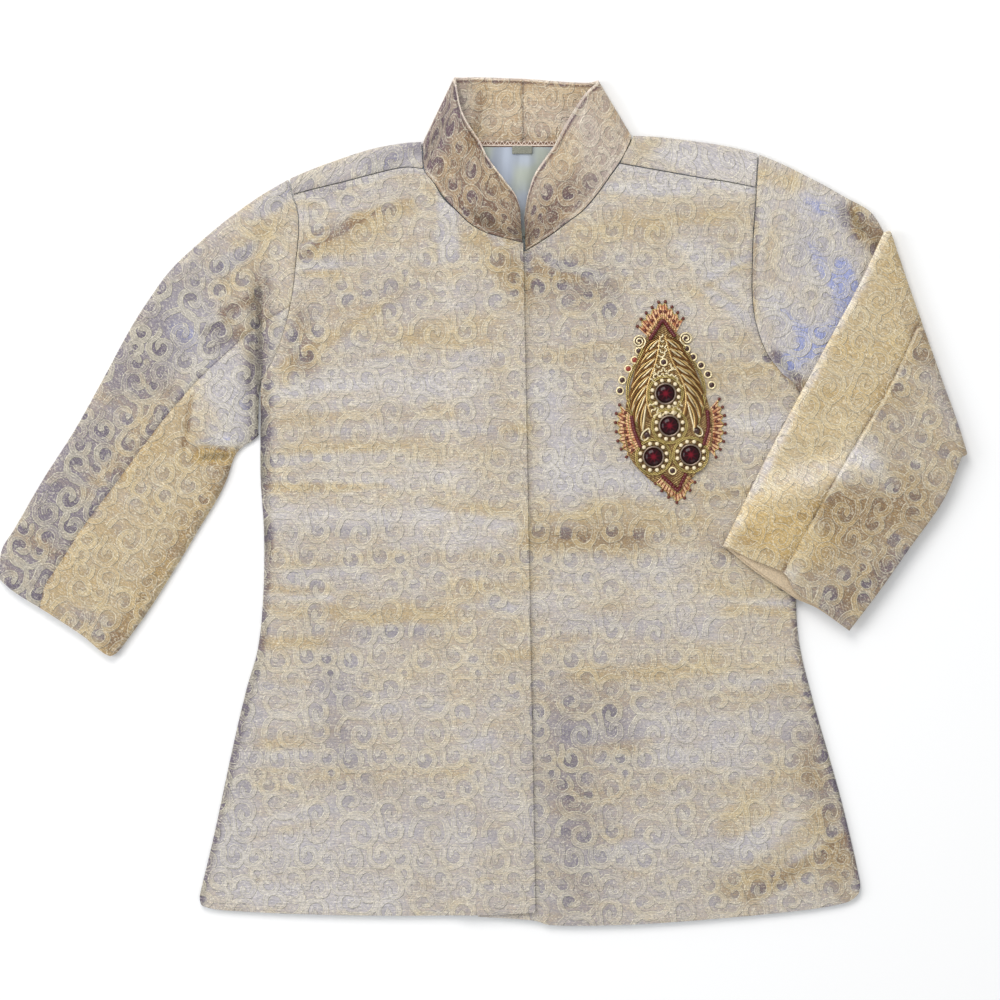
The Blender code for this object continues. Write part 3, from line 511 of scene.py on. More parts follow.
# Soft ridges of the cloth, or troughs below zero, from one end to the other.
BODY_FOLDS = [
    # x0, y0, x1, y1, width, height
    (-112, 146, -50, 176, 9, 1.1), (-106, 181, -86, 174, 5, 0.6), (-70, 104, 18, 118, 12, 0.8),
    (-96, 84, 10, 92, 10, -0.6), (-92, 40, 20, 34, 11, 0.8), (-120, -26, 8, -18, 12, -0.7),
    (-126, -62, 22, -56, 13, 0.8), (-118, -140, -60, -98, 12, 0.7), (52, 160, 120, 172, 12, 0.7),
    (120, 150, 156, 96, 9, 0.7), (38, 4, 128, 0, 10, 0.9), (44, -28, 120, -36, 12, -0.6),
    (60, -100, 150, -84, 14, 0.7), (150, -226, 206, -180, 9, 1), (138, -212, 186, -166, 8, -0.7),
]
SMALL_FOLDS = [
    # x0, y0, x1, y1, width, height
    (-109, 152, -88, 164, 2.4, -0.5), (-110, 146, -60, 172, 2.2, 0.5), (-110, 138, -84, 138, 3, 0.4),
    (-96, 96, -54, 125, 4, 0.4), (-112, 108, -108, 84, 3, -0.6), (-122, 80, -98, 98, 3, 0.4),
    (-130, 60, -60, 70, 4, 0.4), (-130, 26, -50, 30, 3.4, -0.4), (-131, 9, -59, 9, 2.2, 0.4),
    (-128, -44, -70, -38, 3.6, -0.4), (-128, -53, -92, -52, 2.6, 0.5), (-128, -84, -90, -80, 4, 0.4),
    (-86, -66, -20, -68, 3.4, 0.4), (-40, -4, 24, -12, 4, -0.4), (-16, -48, 26, -49, 3.6, 0.4),
    (-140, -150, -100, -148, 5, -0.4), (-150, -200, -90, -188, 5, 0.4), (10, 160, 24, 130, 4, 0.5),
    (34, 140, 70, 132, 4, 0.4), (76, 184, 130, 182, 4, 0.4), (128, 132, 160, 110, 3, -0.4),
    (130, 128, 162, 146, 3, 0.4), (134, 6, 188, 8, 3.4, 0.5), (150, 44, 188, 40, 4, 0.4),
    (30, -12, 100, -15, 3.6, -0.5), (140, -62, 186, -64, 3.6, 0.5), (120, -118, 194, -108, 5, 0.4),
    (164, -236, 214, -200, 3, 0.5), (172, -238, 218, -208, 2.4, -0.4), (40, -150, 110, -140, 6, 0.4),
    (60, -210, 120, -196, 6, -0.3),
]

# Painted sheen and shade, in soft strokes. A gold value above zero paints the cloth more gold, below zero
# more lilac; a depth above zero paints shade in folds and creases, below zero a painted highlight.
BODY_SHEEN = [
    # x0, y0, x1, y1, width, gold, depth
    (-108, 148, -74, 169, 3.6, 0.9, 0.34), (-74, 169, -44, 178, 3.2, 0.9, 0.24),
    (-104, 150, -62, 174, 1.5, 0.3, 0.45), (-108, 172, -88, 175, 4, -0.7, -0.1),
    (-108, 141, -92, 142, 5, -0.6, 0.05), (0, 158, 20, 130, 10, 0.5, 0.1), (12, 140, 24, 127, 6, 0.6, 0.15),
    (-96, 97, -55, 125, 8, 0.4, 0.05), (-109, 106, -106, 86, 8, 0.1, 0.46),
    (-116, 84, -118, 72, 4, 0.8, 0.05), (-78, 92, -56, 93, 5, -0.6, 0.05),
    (-118, 65, -8, 68, 8, -0.6, -0.2), (-120, 48, -20, 52, 5, 0.4, 0.1), (13, 42, 28, 43, 5, 0.7, 0.1),
    (-130, 9, -59, 9, 2.6, 0.7, 0.05), (-119, -10, -31, -10, 6, -0.8, -0.3),
    (-122, -17, -59, -17, 3, -0.5, 0.2), (-31, -18, 26, -18, 10, -0.3, -0.25),
    (-110, -34, 20, -34, 5, 0.3, 0.1), (-128, -52, -94, -52, 4, 0.8, 0.05),
    (-129, -58, -93, -58, 2.4, -0.3, -0.25), (-16, -49, 26, -49, 6, 0.6, 0.05),
    (-85, -66, -25, -66, 5, 0.5, 0.05), (-77, -79, -37, -79, 5, -0.5, 0.15), (-8, -65, 15, -64, 4, -0.7, 0),
    (13, -94, 26, -93, 5, 0.8, 0), (-128, -84, -100, -84, 5.5, 0.5, 0),
    (-92, -104, -88, -150, 10, -0.1, 0.15), (-120, -128, -30, -122, 7, -0.3, -0.05),
    (-130, -168, 10, -160, 8, 0.3, 0.05), (-150, -205, -20, -200, 16, -0.3, -0.12),
    (-140, -236, -60, -240, 10, -0.5, -0.25), (34, 137, 64, 126, 16, 0, 0.44),
    (72, 166, 152, 172, 9, 0.6, 0.05), (84, 188, 152, 186, 8, -0.5, -0.3),
    (124, 150, 158, 120, 8, -0.5, -0.2), (40, 60, 50, -6, 13, -0.6, -0.1), (46, 20, 92, 12, 7, -0.6, -0.15),
    (40, 84, 86, 90, 7, 0.4, 0.1), (30, -13, 128, -14, 7, 0.4, 0.1), (30, -21, 90, -24, 8, 0.9, 0.44),
    (28, -60, 54, -58, 9, -0.3, -0.2), (146, -30, 172, -38, 7, 0.5, 0.42),
    (150, -190, 186, -186, 9, 0.5, 0.05), (134, 70, 160, 66, 5, 0.3, 0.05), (152, 32, 178, 32, 6, -0.4, 0),
    (132, 6, 188, 6, 6, 0.5, 0.15), (148, 46, 188, 44, 7, -0.7, -0.3), (130, 76, 172, 78, 6, 0.5, 0.05),
    (50, -38, 180, -34, 6, -0.3, -0.05), (142, -54, 184, -57, 6, 0.8, 0.12),
    (44, -70, 130, -76, 6, -0.4, 0.05), (60, -104, 186, -96, 7, 0.4, 0.05),
    (50, -136, 190, -130, 7, -0.4, -0.05), (60, -176, 200, -168, 8, 0.4, 0.05),
    (50, -212, 190, -206, 7, -0.3, 0), (160, -238, 214, -204, 4, 0.4, 0.25),
    (48, -128, 56, -236, 20, -0.1, 0.26), (76, -122, 84, -150, 12, 0, 0.2),
    (190, -126, 216, -196, 13, 0.1, 0.18), (196, -160, 216, -232, 10, 0.4, 0.25),
    (150, -232, 214, -216, 9, 0.6, 0.22), (-124, 182, -88, 188, 7, -0.2, 0.25),
    (194, -92, 204, -126, 3, -0.6, 0.6), (-131, 72, -132, 14, 5, -0.1, 0.62),
    (169, 87, 190, 66, 1.8, 0.1, 0.8), (-100, -60, -70, -176, 16, -0.2, 0.1),
    (-138, -120, -150, -214, 9, -0.5, 0.1), (-130, -14, -128, -30, 3, 0, 0.6),
    (-136, -78, -142, -96, 4, 0.1, 0.4), (100, -56, 170, -60, 10, -0.2, -0.25),
    (118, -150, 150, -150, 12, -0.4, -0.12), (-70, 14, -20, 16, 12, -0.4, -0.25),
    (0, -150, 20, -190, 12, -0.3, -0.1), (50, -172, 62, -190, 14, 0, 0.14),
    (-84, 120, -50, 122, 14, 0, 0.14), (54, -134, 84, -134, 12, 0, 0.14),
    (-108, 158, -80, 166, 6, 0.1, 0.15), (-116, 90, -108, 70, 8, 0, 0.17),
    (-36, -190, -4, -192, 12, 0, 0.12), (160, -186, 190, -204, 16, 0.1, -0.17),
    (140, -92, 196, -98, 15, 0, -0.19), (104, 118, 138, 112, 14, 0, -0.15),
    (140, 190, 162, 186, 8, 0, -0.15), (126, 52, 150, 46, 9, 0.24, -0.14), (56, 32, 84, 28, 14, -0.2, 0),
    (-140, -212, -94, -214, 14, -0.2, 0), (104, -178, 146, -178, 12, -0.2, 0),
    (136, 106, 158, 100, 12, -0.2, 0), (-100, -22, -58, -22, 8, -0.22, 0), (-10, 148, 22, 132, 12, 0.24, 0),
    (150, -46, 186, -48, 8, 0.2, 0), (34, -31, 76, -31, 8, 0.2, 0.04), (156, -202, 190, -208, 10, 0.22, 0),
    (-100, 164, -66, 173, 7, 0.22, 0),
]


def smoothstep(value):
    value = np.clip(value, 0.0, 1.0)
    return value * value * (3.0 - 2.0 * value)


def mix(a, b, share):
    return a * (1.0 - share) + b * share


def lengths(vectors):
    return np.linalg.norm(vectors, axis=-1, keepdims=True)


def line(points, stations=None):
    """A smooth line through the points. It runs from 0 to 1 with the distance along it, or the stations."""
    knots = np.array(points, float)
    if stations is None:
        stations = np.append(0.0, np.cumsum(lengths(np.diff(knots, axis=0))))
    last = len(knots) - 1
    before = np.maximum(np.arange(last + 1) - 1, 0)
    after = np.minimum(np.arange(last + 1) + 1, last)
    tangents = (knots[after] - knots[before]) / (stations[after] - stations[before])[:, None]

    def at(u):
        distance = np.clip(u, 0.0, 1.0) * stations[-1]
        i = np.clip(np.searchsorted(stations, distance) - 1, 0, last - 1)
        step = (stations[i + 1] - stations[i])[..., None]
        h = (distance - stations[i])[..., None] / step
        h2, h3 = h * h, h * h * h
        return (knots[i] * (2 * h3 - 3 * h2 + 1) + tangents[i] * step * (h3 - 2 * h2 + h)
                + knots[i + 1] * (3 * h2 - 2 * h3) + tangents[i + 1] * step * (h3 - h2))

    return at


def chained(*pieces):
    """One edge of a panel from (share, line) pieces, which meet in corners."""
    def at(u):
        end = 1.0
        place = pieces[-1][1](np.ones_like(u))
        for share, piece in reversed(pieces):
            here = (u <= end + 1e-9)[..., None]
            place = np.where(here, piece((u - end + share) / share), place)
            end -= share
        return place

    return at


def patch(top, bottom, outer, inner):
    """The surface (s, t) that four edges span: s runs down from top to bottom, t from outer to inner."""
    zero, one = np.array(0.0), np.array(1.0)

    def at(s, t):
        s, t = np.broadcast_arrays(s, t)
        down, across = s[..., None], t[..., None]
        corners = mix(mix(outer(zero), inner(zero), across), mix(outer(one), inner(one), across), down)
        return mix(outer(s), inner(s), across) + mix(top(t), bottom(t), down) - corners

    return at


def strokes(table, x, y, long_ends=False):
    """The sum of each value of a table of soft strokes, at each place: a stroke runs from (x0, y0) to
    (x1, y1) and fades out across its width and past its ends."""
    totals = [np.zeros(np.shape(x)) for _ in table[0][5:]]
    for x0, y0, x1, y1, width, *values in table:
        run_x, run_y = x1 - x0, y1 - y0
        length = math.hypot(run_x, run_y)
        along = ((x - x0) * run_x + (y - y0) * run_y) / length
        off = ((x - x0) * run_y - (y - y0) * run_x) / length
        if long_ends:
            ends = smoothstep((along / length + 0.15) / 0.4) * smoothstep((1.15 - along / length) / 0.4)
        else:
            beyond = np.maximum(np.maximum(-along, along - length), 0.0)
            ends = np.exp(-((beyond / (1.4 * width)) ** 2))
        fade = np.exp(-((off / width) ** 2))
        for total, value in zip(totals, values):
            total += value * ends * fade
    return totals


def folds(table, x, y):
    return strokes(table, x, y, long_ends=True)[0]


def front_height(x, y):
    across = np.maximum(0.0, 1.0 - abs((x - CENTRE_X) / BODY_HALF) ** 3)
    above = mix(1.0, 0.55, smoothstep((y - CHEST_Y) / CHEST_TO_SHOULDER))
    below = mix(1.0, 0.3, smoothstep((CHEST_Y - y) / CHEST_TO_HEM))
    stand = CHEST_DOME * across * np.where(y > CHEST_Y, above, below) + folds(BODY_FOLDS, x, y)
    return FRONT_MID + np.maximum(0.0, np.maximum(0.0, stand) + folds(SMALL_FOLDS, x, y))


def right_front_height(x, y):
    """As the left front, with the climb over its underlap."""
    lap_x = mix(LAP_TOP[0], LAP_HEM[0], (LAP_TOP[1] - y) / (LAP_TOP[1] - LAP_HEM[1]))
    return front_height(x, y) + LAP_RISE * smoothstep((x - lap_x + UNDERLAP + CLIMB_AHEAD) / LAP_CLIMB)


def level(height):
    """A height function that is the same everywhere."""
    return lambda x, y: np.full(x.shape, height)


def lifted(outline, height):
    """The flat outline raised to a height that depends on (x, y)."""
    def at(s, t):
        flat = outline(s, t)
        return np.dstack([flat, height(flat[..., 0], flat[..., 1])])

    return at


def add_sheet(name, grids, material, wall=WALL, lined=True):
    """A wall of cloth around one or more grids, welded where they meet.

    Each grid is (place, grain, gold, depth): where it lies and the run of its threads, both in mm, and
    its painted sheen and painted shade.
    """
    mesh = bpy.data.meshes.new(name)
    points, faces, weave, shades = [], [], [], {"gold": [], "depth": []}
    for place, grain, gold, depth in grids:
        rows, width = place.shape[:2]
        corner = np.arange(rows * width).reshape(rows, width) + len(points)
        quads = np.stack([corner[:-1, :-1], corner[1:, :-1], corner[1:, 1:], corner[:-1, 1:]], axis=-1)
        faces += quads.reshape(-1, 4).tolist()
        points += (place.reshape(-1, 3) * MM).tolist()
        weave += (grain.reshape(-1, 2) * MM).tolist()
        shades["gold"] += np.broadcast_to(gold, (rows, width)).ravel().tolist()
        shades["depth"] += np.broadcast_to(depth, (rows, width)).ravel().tolist()
    mesh.from_pydata(points, [], faces)
    used = np.array(faces).ravel()
    mesh.uv_layers.new(name="grain").data.foreach_set("uv", np.array(weave)[used].ravel())
    for label, values in shades.items():
        mesh.attributes.new(label, "FLOAT", "POINT").data.foreach_set("value", values)
    if len(grids) > 1:
        joined = bmesh.new()
        joined.from_mesh(mesh)
        bmesh.ops.remove_doubles(joined, verts=joined.verts, dist=0.02 * MM)
        joined.to_mesh(mesh)
        joined.free()
    mesh.materials.append(material)
    if lined:
        mesh.materials.append(lining)
    mesh.shade_smooth()
    made = bpy.data.objects.new(name, mesh)
    bpy.context.scene.collection.objects.link(made)
    thick = made.modifiers.new("wall", "SOLIDIFY")
    thick.thickness = wall * MM
    thick.offset = 0.0
    thick.material_offset = 1 if lined else 0
    rounded = made.modifiers.new("soft_edges", "BEVEL")
    rounded.width = 0.3 * wall * MM
    rounded.segments = 2
    rounded.limit_method = "ANGLE"
    rounded.angle_limit = math.radians(50)
    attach(made, "root")
    return made


def width_of(outline, s):
    """How wide an outline is, at each way down."""
    return lengths(outline(s, np.ones_like(s)) - outline(s, np.zeros_like(s)))[..., 0]


def steps_through(*stops):
    """Even steps through the stops: a first place, then (a place, the points up to it) for each."""
    first, *others = stops
    runs = [np.array([first])]
    for last, count in others:
        runs.append(np.linspace(first, last, count)[1:])
        first = last
    return np.concatenate(runs)


def seam_dip(off, depth=SEAM_DIP, width=1.5):
    """How far a seam draws the cloth down, this many mm from it."""
    return depth * np.exp(-((off / width) ** 2))


def front_grid(outline, height, rows, columns):
    """A front's places. Below the armhole its side rolls down to the table. It also gives how much of the
    rolled side's painted shade each place gets.
    """
    s = rows[:, None]
    rolled = smoothstep((s - ARMHOLE_SHARE) / 0.05)
    span = width_of(outline, s)
    turn = np.linspace(0.0, math.pi / 2, ROLL_ROWS)
    edge = mix(ARMHOLE_EASE, WALL / 2, rolled)
    roll = (edge + SIDE_ROLL * (1.0 - np.cos(turn))) / span
    inward = np.linspace(0.0, 1.0, columns + 1)[1:]
    t = np.concatenate([roll, mix((WALL / 2 + SIDE_ROLL) / span, 1.0 - GAP / 2 / span, inward)], axis=1)
    flat = outline(s, t)
    full = height(flat[..., 0], flat[..., 1])
    down = np.concatenate([np.sin(turn), np.ones(columns)])
    z = mix(full, mix(SIDE_END, full, down), rolled)
    z -= seam_dip(t * span + NO_SEAM * rolled)
    place = np.dstack([flat, z])
    place[..., 2] -= seam_dip(lengths(place[..., :2] - place[:1, :, :2])[..., 0])
    return place, rolled * smoothstep((ROLL_SHADE_WIDTH - t * span) / 8.0)


def front_shades(place, rim):
    # Painted sheen and shade of a front: the strokes, less gold and more shade on the rolled side, and more
    # or less gold with the slope of the folds, as a shot silk changes with the light.
    x, y = place[..., 0], place[..., 1]
    more_gold, more_depth = strokes(BODY_SHEEN, x, y)
    skirt = smoothstep((SKIRT_Y - y) / 100.0)
    gold = BODY_GOLD - SKIRT_LILAC * skirt + 0.5 * more_gold - 0.4 * rim
    slope = np.gradient(place[..., 2], axis=0) / np.gradient(y, axis=0)
    gold += np.clip(slope * 3.0, -0.4, 0.4)
    return np.minimum(gold, MOST_GOLD), BODY_SHADE + more_depth + ROLL_SHADE * rim


def front_outline(shoulder_seam, hem, armhole, side, *inner):
    outer = ((ARMHOLE_SHARE, line(armhole)), (1.0 - ARMHOLE_SHARE, line(side)))
    return patch(line(shoulder_seam), line(hem), chained(*outer), chained(*inner))


neck = 0.2
right_front = front_outline(RIGHT_SHOULDER_SEAM, RIGHT_HEM, RIGHT_ARMHOLE, RIGHT_SIDE,
                            (neck, line(RIGHT_NECK)), (1.0 - neck, line([LAP_TOP, LAP_HEM])))
rows = steps_through(TOP_SHARE, (neck, 50), (ARMHOLE_SHARE, 30), (1.0, 140))
place, rim = front_grid(right_front, right_front_height, rows, 110)
right_piece = add_sheet("right_front", [(place, place[..., :2], *front_shades(place, rim))], brocade)
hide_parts("front_right")

neck, lap = 0.17, 0.24
left_front = front_outline(LEFT_SHOULDER_SEAM, LEFT_HEM, LEFT_ARMHOLE, LEFT_SIDE, (neck, line(LEFT_NECK)),
                           (lap - neck, line(UNDERLAP_TOP)), (1.0 - lap, line(UNDERLAP_EDGE)))
rows = steps_through(TOP_SHARE, (neck, 44), (lap, 14), (ARMHOLE_SHARE, 20), (1.0, 140))
place, rim = (grid[:, ::-1] for grid in front_grid(left_front, front_height, rows, 130))
left_piece = add_sheet("left_front", [(place, place[..., :2], *front_shades(place, rim))], brocade)
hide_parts("front_left")


# --------------------------------------------------------------------------------------- the back
# One piece that lies flat on the table, inside down. Its shoulders turn over to the front, where they are
# sewn to the fronts at forward shoulder seams.

NECK_Y = 213.0
COLLAR_SEAM_X = 24.0
SHOULDER_TURN_R = 1.8
BACK_ARMHOLE_EASE = 1.1
BACK_INSET = 2.6
SHOULDER_COLUMNS = 41
# How much painted shade the turned shoulders have between the strokes.
SHOULDER_SHADE = 0.14
RIGHT_SHOULDER_FOLD = [
    (-116.2, 192.4), (-104.6, 197.4), (-91.2, 202.5), (-66.7, 210.4), (-47, 214), (-36.8, 214.6),
]
LEFT_SHOULDER_FOLD = [
    (165, 207.4), (152.9, 210.6), (139.1, 213.3), (121.8, 215.7), (104.6, 217.6), (90.4, 218.3),
]
BACK_HEM = [
    (-166.9, -236), (-165.6, -240.8), (-146, -244), (-78, -246.4), (0, -246.4), (82, -252), (123, -249.8),
    (186, -244), (216, -239.2), (222.4, -235), (223.1, -228),
]
# Painted sheen and shade where the shoulders turn over, added to the body's strokes.
SHOULDER_SHEEN = [
    # x0, y0, x1, y1, width, gold, depth
    (-62, 200, -40, 212, 8, -0.9, 0.45), (-110, 188, -70, 203, 5, -0.2, 0.05),
    (94, 206, 104, 214, 5, 0.2, 0.15), (112, 208, 160, 202, 9, -0.5, -0.35),
]


def aside(edge, distance):
    """The line moved this far to the left of its own direction."""
    def at(u):
        run = edge(np.minimum(u + 0.01, 1.0)) - edge(np.maximum(u - 0.01, 0.0))
        run /= np.maximum(lengths(run), 1e-9)
        return edge(u) + np.stack([-run[..., 1], run[..., 0]], axis=-1) * distance

    return at


def turned_shoulder(fold, seam, height):
    """Where the flat back ends below a shoulder fold, and what turns over from there to the seam."""
    def flat_end(t):
        inwards = seam(t) - fold(t)
        return fold(t) + inwards / lengths(inwards) * (WALL / 2 + SHOULDER_TURN_R)

    def turned(t):
        out = fold(t) - seam(t)
        out /= lengths(out)
        root = flat_end(t)
        top_z = height(root[..., 0], root[..., 1])
        rows = []
        for turn in np.radians(np.linspace(-75, 90, ROLL_ROWS)):
            flat = root + out * SHOULDER_TURN_R * math.cos(turn)
            rows.append(np.column_stack([flat, mix(BACK_MID, top_z, (1 + math.sin(turn)) / 2)]))
        for share in np.linspace(0.0, 1.0, 15)[1:]:
            flat = mix(root, seam(t) + out * GAP, share)
            z = height(flat[:, 0], flat[:, 1]) - seam_dip(lengths(flat - seam(t))[:, 0])
            rows.append(np.column_stack([flat, z]))
        return rows

    return flat_end, turned


def on_top_shades(place):
    """The shades of what carries on from the fronts."""
    body = strokes(BODY_SHEEN, place[..., 0], place[..., 1])
    shoulder = strokes(SHOULDER_SHEEN, place[..., 0], place[..., 1])
    return BODY_GOLD + 0.6 * body[0] + shoulder[0], SHOULDER_SHADE + body[1] + shoulder[1]


right_end, right_turned = turned_shoulder(
    line(RIGHT_SHOULDER_FOLD), line(RIGHT_SHOULDER_SEAM), right_front_height)
left_end, left_turned = turned_shoulder(line(LEFT_SHOULDER_FOLD), line(LEFT_SHOULDER_SEAM), front_height)
neck_y = NECK_Y - GAP
one = np.array(1.0)
neck_line = line([right_end(one), (-30.0, neck_y), (COLLAR_SEAM_X, neck_y), (60.0, neck_y), left_end(one)])
right_share, neck_share, left_share = 0.24, 0.50, 0.26
back_top = chained((right_share, right_end), (neck_share, neck_line),
                   (left_share, lambda t: left_end(1.0 - t)))
back_sides = []
for flat_end, armhole, side, way in ((right_end, RIGHT_ARMHOLE, RIGHT_SIDE, 1.0),
                                     (left_end, LEFT_ARMHOLE, LEFT_SIDE, -1.0)):
    back_sides.append(chained(
        (ARMHOLE_SHARE, aside(line([flat_end(np.array(0.0))] + armhole), way * BACK_ARMHOLE_EASE)),
        (1.0 - ARMHOLE_SHARE, aside(line(side), way * BACK_INSET)),
    ))
flat_back = patch(back_sides[0], back_sides[1], back_top, line(BACK_HEM))
columns = steps_through(0.0, (right_share, SHOULDER_COLUMNS), (1.0 - left_share, 31),
                        (1.0, SHOULDER_COLUMNS))
down = steps_through(0.0, (ARMHOLE_SHARE, 30), (1.0, 30))
place = lifted(flat_back, level(BACK_MID))(columns[None, :], down[::-1, None])
grids = [(place, place[..., :2], 0.5, 0.2)]
across = np.linspace(0.0, 1.0, SHOULDER_COLUMNS)
for flat_row, turned, t in ((place[-1, :SHOULDER_COLUMNS], right_turned, mix(0.006, 1.0, across)),
                            (place[-1, -SHOULDER_COLUMNS:], left_turned, mix(1.0, 0.006, across))):
    strip = np.stack([flat_row] + turned(t))
    unrolled = np.cumsum(lengths(np.diff(strip, axis=0, prepend=strip[:1]))[..., 0], axis=0)
    grain = np.dstack([strip[..., 0], strip[0, :, 1] + unrolled])
    grids.append((strip, grain, *on_top_shades(strip)))
back_piece = add_sheet("back", grids, brocade)
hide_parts("back_panel")


# ------------------------------------------------------------------------------ the right sleeve
# A two-piece sleeve laid flat beside the body: the top piece carries the outer edge and the under piece
# the inner one, with a seam down the middle of the front. It creases deeply where its head tucks under.

SLEEVE_ROLL = 4.4
BACK_SEAM = 0.42        # of the way across
PUFF = 0.7              # how much higher a sleeve stands in its middle
HEAD_STAND = 2.4        # over the flat
CUFF_STAND = 1.7
HEAD_SHARE = 0.42       # of the sleeve, where its shades are the head's
ARMHOLE_DIP = 0.5
SLEEVE_COLUMNS = 46     # on each side of a panel
RIGHT_TIP = RIGHT_SHOULDER_FOLD[0]
RIGHT_IN_ARMHOLE = 0.816
RIGHT_AXIS = (-0.571, -0.822)
RIGHT_SLEEVE_OUTER = [
    RIGHT_TIP, (-133, 182.6), (-153.6, 168), (-170.4, 154), (-187.2, 138), (-200.4, 120), (-211.8, 102),
    (-228, 72), (-244.8, 42), (-264, 12), (-281.4, -18), (-288.6, -30), (-290, -46.8),
]
RIGHT_SLEEVE_BESIDE = [(-133.4, 70.6), (-134.2, 65), (-134.4, 54), (-134.8, 39)]
RIGHT_SLEEVE_INNER = [
    (-134.8, 39), (-138.6, 35.4), (-144.6, 31.6), (-149.4, 26), (-154.2, 12), (-160, 0), (-171, -18),
    (-185.4, -42), (-202.2, -68), (-217, -88),
]
RIGHT_CUFF = [(-290, -46.8), (-281.6, -54.4), (-262, -66.6), (-240, -81), (-223.6, -93.4), (-217, -88)]
RIGHT_SLEEVE_FOLDS = [
    # x0, y0, x1, y1, width, height
    (-135.8, 134, -134.6, 36, 3.4, -4.2), (-139, 116, -172, 100, 5, 1.3), (-140, 98, -164, 90, 5, -1.1),
    (-140, 132, -176, 122, 5.5, -1), (-190, 77, -161, 14, 4.5, -1.3), (-166, 33, -146, 22, 5, -1.5),
    (-236, 44, -182, 8, 10, 0.9), (-124, 178, -150, 150, 7, 0.9), (-138, 122, -156, 110, 2.4, -0.9),
    (-150, 108, -168, 100, 2.2, -0.7), (-176, 62, -179, 30, 2, -0.7), (-172, 40, -148, 34, 2.6, 0.7),
    (-170, 26, -150, 29, 1.6, -0.7), (-140, 84, -160, 60, 3, 0.5), (-200, 0, -226, 16, 4, 0.4),
    (-222, -32, -250, -20, 4, 0.4), (-214, 90, -190, 70, 4, 0.4), (-176, 130, -196, 112, 4, -0.4),
    (-128, 160, -146, 138, 3, -0.5),
]
# Painted sheen and shade on the right sleeve, as in the body's strokes; the strongest depth is the painted
# shadow in the deep crease where the head tucks under.
RIGHT_SLEEVE_SHEEN = [
    # x0, y0, x1, y1, width, gold, depth
    (-134.4, 126, -134, 30, 2.4, 0, 1.8), (-140, 90, -138, 32, 5, -0.1, 0.45),
    (-157, 14, -223, -88, 5, 0.2, 0.42), (-132, 130, -132, 32, 6, -0.1, 0.6),
    (-146, 100, -158, 94, 4, 0.2, 0.5), (-166, 30, -154, 22, 5, 0.7, 0.7),
    (-153, 112, -137, 121, 3, 0.2, 0.9), (-165, 101, -153, 106, 2.6, 0.3, 0.7),
    (-175, 60, -179, 32, 2, 0.2, 0.7), (-170, 25, -151, 28, 4, 0.8, 0.4),
    (-168, 25, -152, 27, 1.6, 0.3, 1.2), (-170, 34, -148, 37, 2.6, -0.8, -0.2),
    (-132, 174, -116, 186, 4.5, -1, 0.25), (-156, 140, -140, 150, 4, -0.9, 0.15),
    (-178, 104, -150, 60, 16, -0.8, -0.1), (-150, 128, -130, 160, 10, 0.2, 0.1),
    (-200, 30, -214, 18, 8, 0.3, 0.05), (-230, 60, -214, 50, 8, 0.3, -0.2),
    (-262, -6, -248, -6, 9, -0.1, 0.05), (-240, -70, -218, -84, 6, -0.3, 0.25),
    (-236, 6, -172, 82, 6, 0.4, -0.14), (-182, 76, -166, 56, 10, 0, -0.14),
    (-210, 0, -188, 10, 12, -0.2, 0), (-174, 42, -160, 34, 9, -0.22, 0),
    (-276, -20, -252, -34, 10, 0.28, 0),
]


def sleeve_panel(s, span, front, back, seam, outer):
    """One panel of a flattened sleeve: from the seam on its front, round its edge, to the seam behind.

    Gives the panel's places, and how far each is from the seam on its front and from the one behind.
    """
    edge, bend, roll, stitch = (value / span for value in (WALL / 2, LAYER / 2, SLEEVE_ROLL, GAP / 2))
    start = (seam if outer else 1.0 - seam) - stitch
    behind = (BACK_SEAM if outer else 1.0 - BACK_SEAM) - stitch
    even, press = np.linspace(0, 1, SLEEVE_COLUMNS), np.linspace(0, 1, 8)[1:]
    turn = np.linspace(0, math.pi, 10)[1:]
    on_front, on_back = SLEEVE_COLUMNS + len(press), len(turn) + SLEEVE_COLUMNS - 1
    t = np.concatenate([
        mix(start, edge + roll, even),
        mix(edge + roll, edge + bend, press),
        edge + bend * (1.0 - np.sin(turn)),
        mix(edge + bend, behind, even[1:]),
    ], axis=1)
    lift = np.concatenate([np.ones(SLEEVE_COLUMNS), np.cos(press * math.pi / 2), np.zeros(on_back)])
    around = np.concatenate([np.zeros(on_front), (1.0 - np.cos(turn)) / 2, np.ones(SLEEVE_COLUMNS - 1)])
    share = t if outer else 1.0 - t
    low, full = back(s, share), front(s, share)
    pressed = low + (full - low) / lengths(full - low) * LAYER
    place = mix(mix(pressed, full, lift[:, None]), low, around[:, None])
    past = np.concatenate([np.zeros(on_front), np.full(on_back, NO_SEAM)])
    return place, abs(t - start) * span + past, abs(t - behind) * span + NO_SEAM * (around < 1.0)


def sleeve_grain(place, axis):
    """The run of the threads on a sleeve that points along this axis."""
    down_x, down_y = axis
    x, y = place[..., 0], place[..., 1]
    return np.dstack([-x * down_y + y * down_x, -x * down_x - y * down_y])


right_head = chained((RIGHT_IN_ARMHOLE, line([RIGHT_TIP] + RIGHT_ARMHOLE)),
                     (1.0 - RIGHT_IN_ARMHOLE, line(RIGHT_SLEEVE_BESIDE)))
right_outline = patch(right_head, line(RIGHT_CUFF), line(RIGHT_SLEEVE_OUTER), line(RIGHT_SLEEVE_INNER))


def right_sleeve_front(s, t):
    flat = right_outline(s, t)
    x, y = flat[..., 0], flat[..., 1]
    own = FRONT_MID + mix(HEAD_STAND, CUFF_STAND, s) + PUFF * np.sin(math.pi * t)
    z = mix(right_front_height(x, y), own, smoothstep(s / 0.16)) + folds(RIGHT_SLEEVE_FOLDS, x, y)
    return np.dstack([flat, np.maximum(z, FRONT_MID + 0.05)])


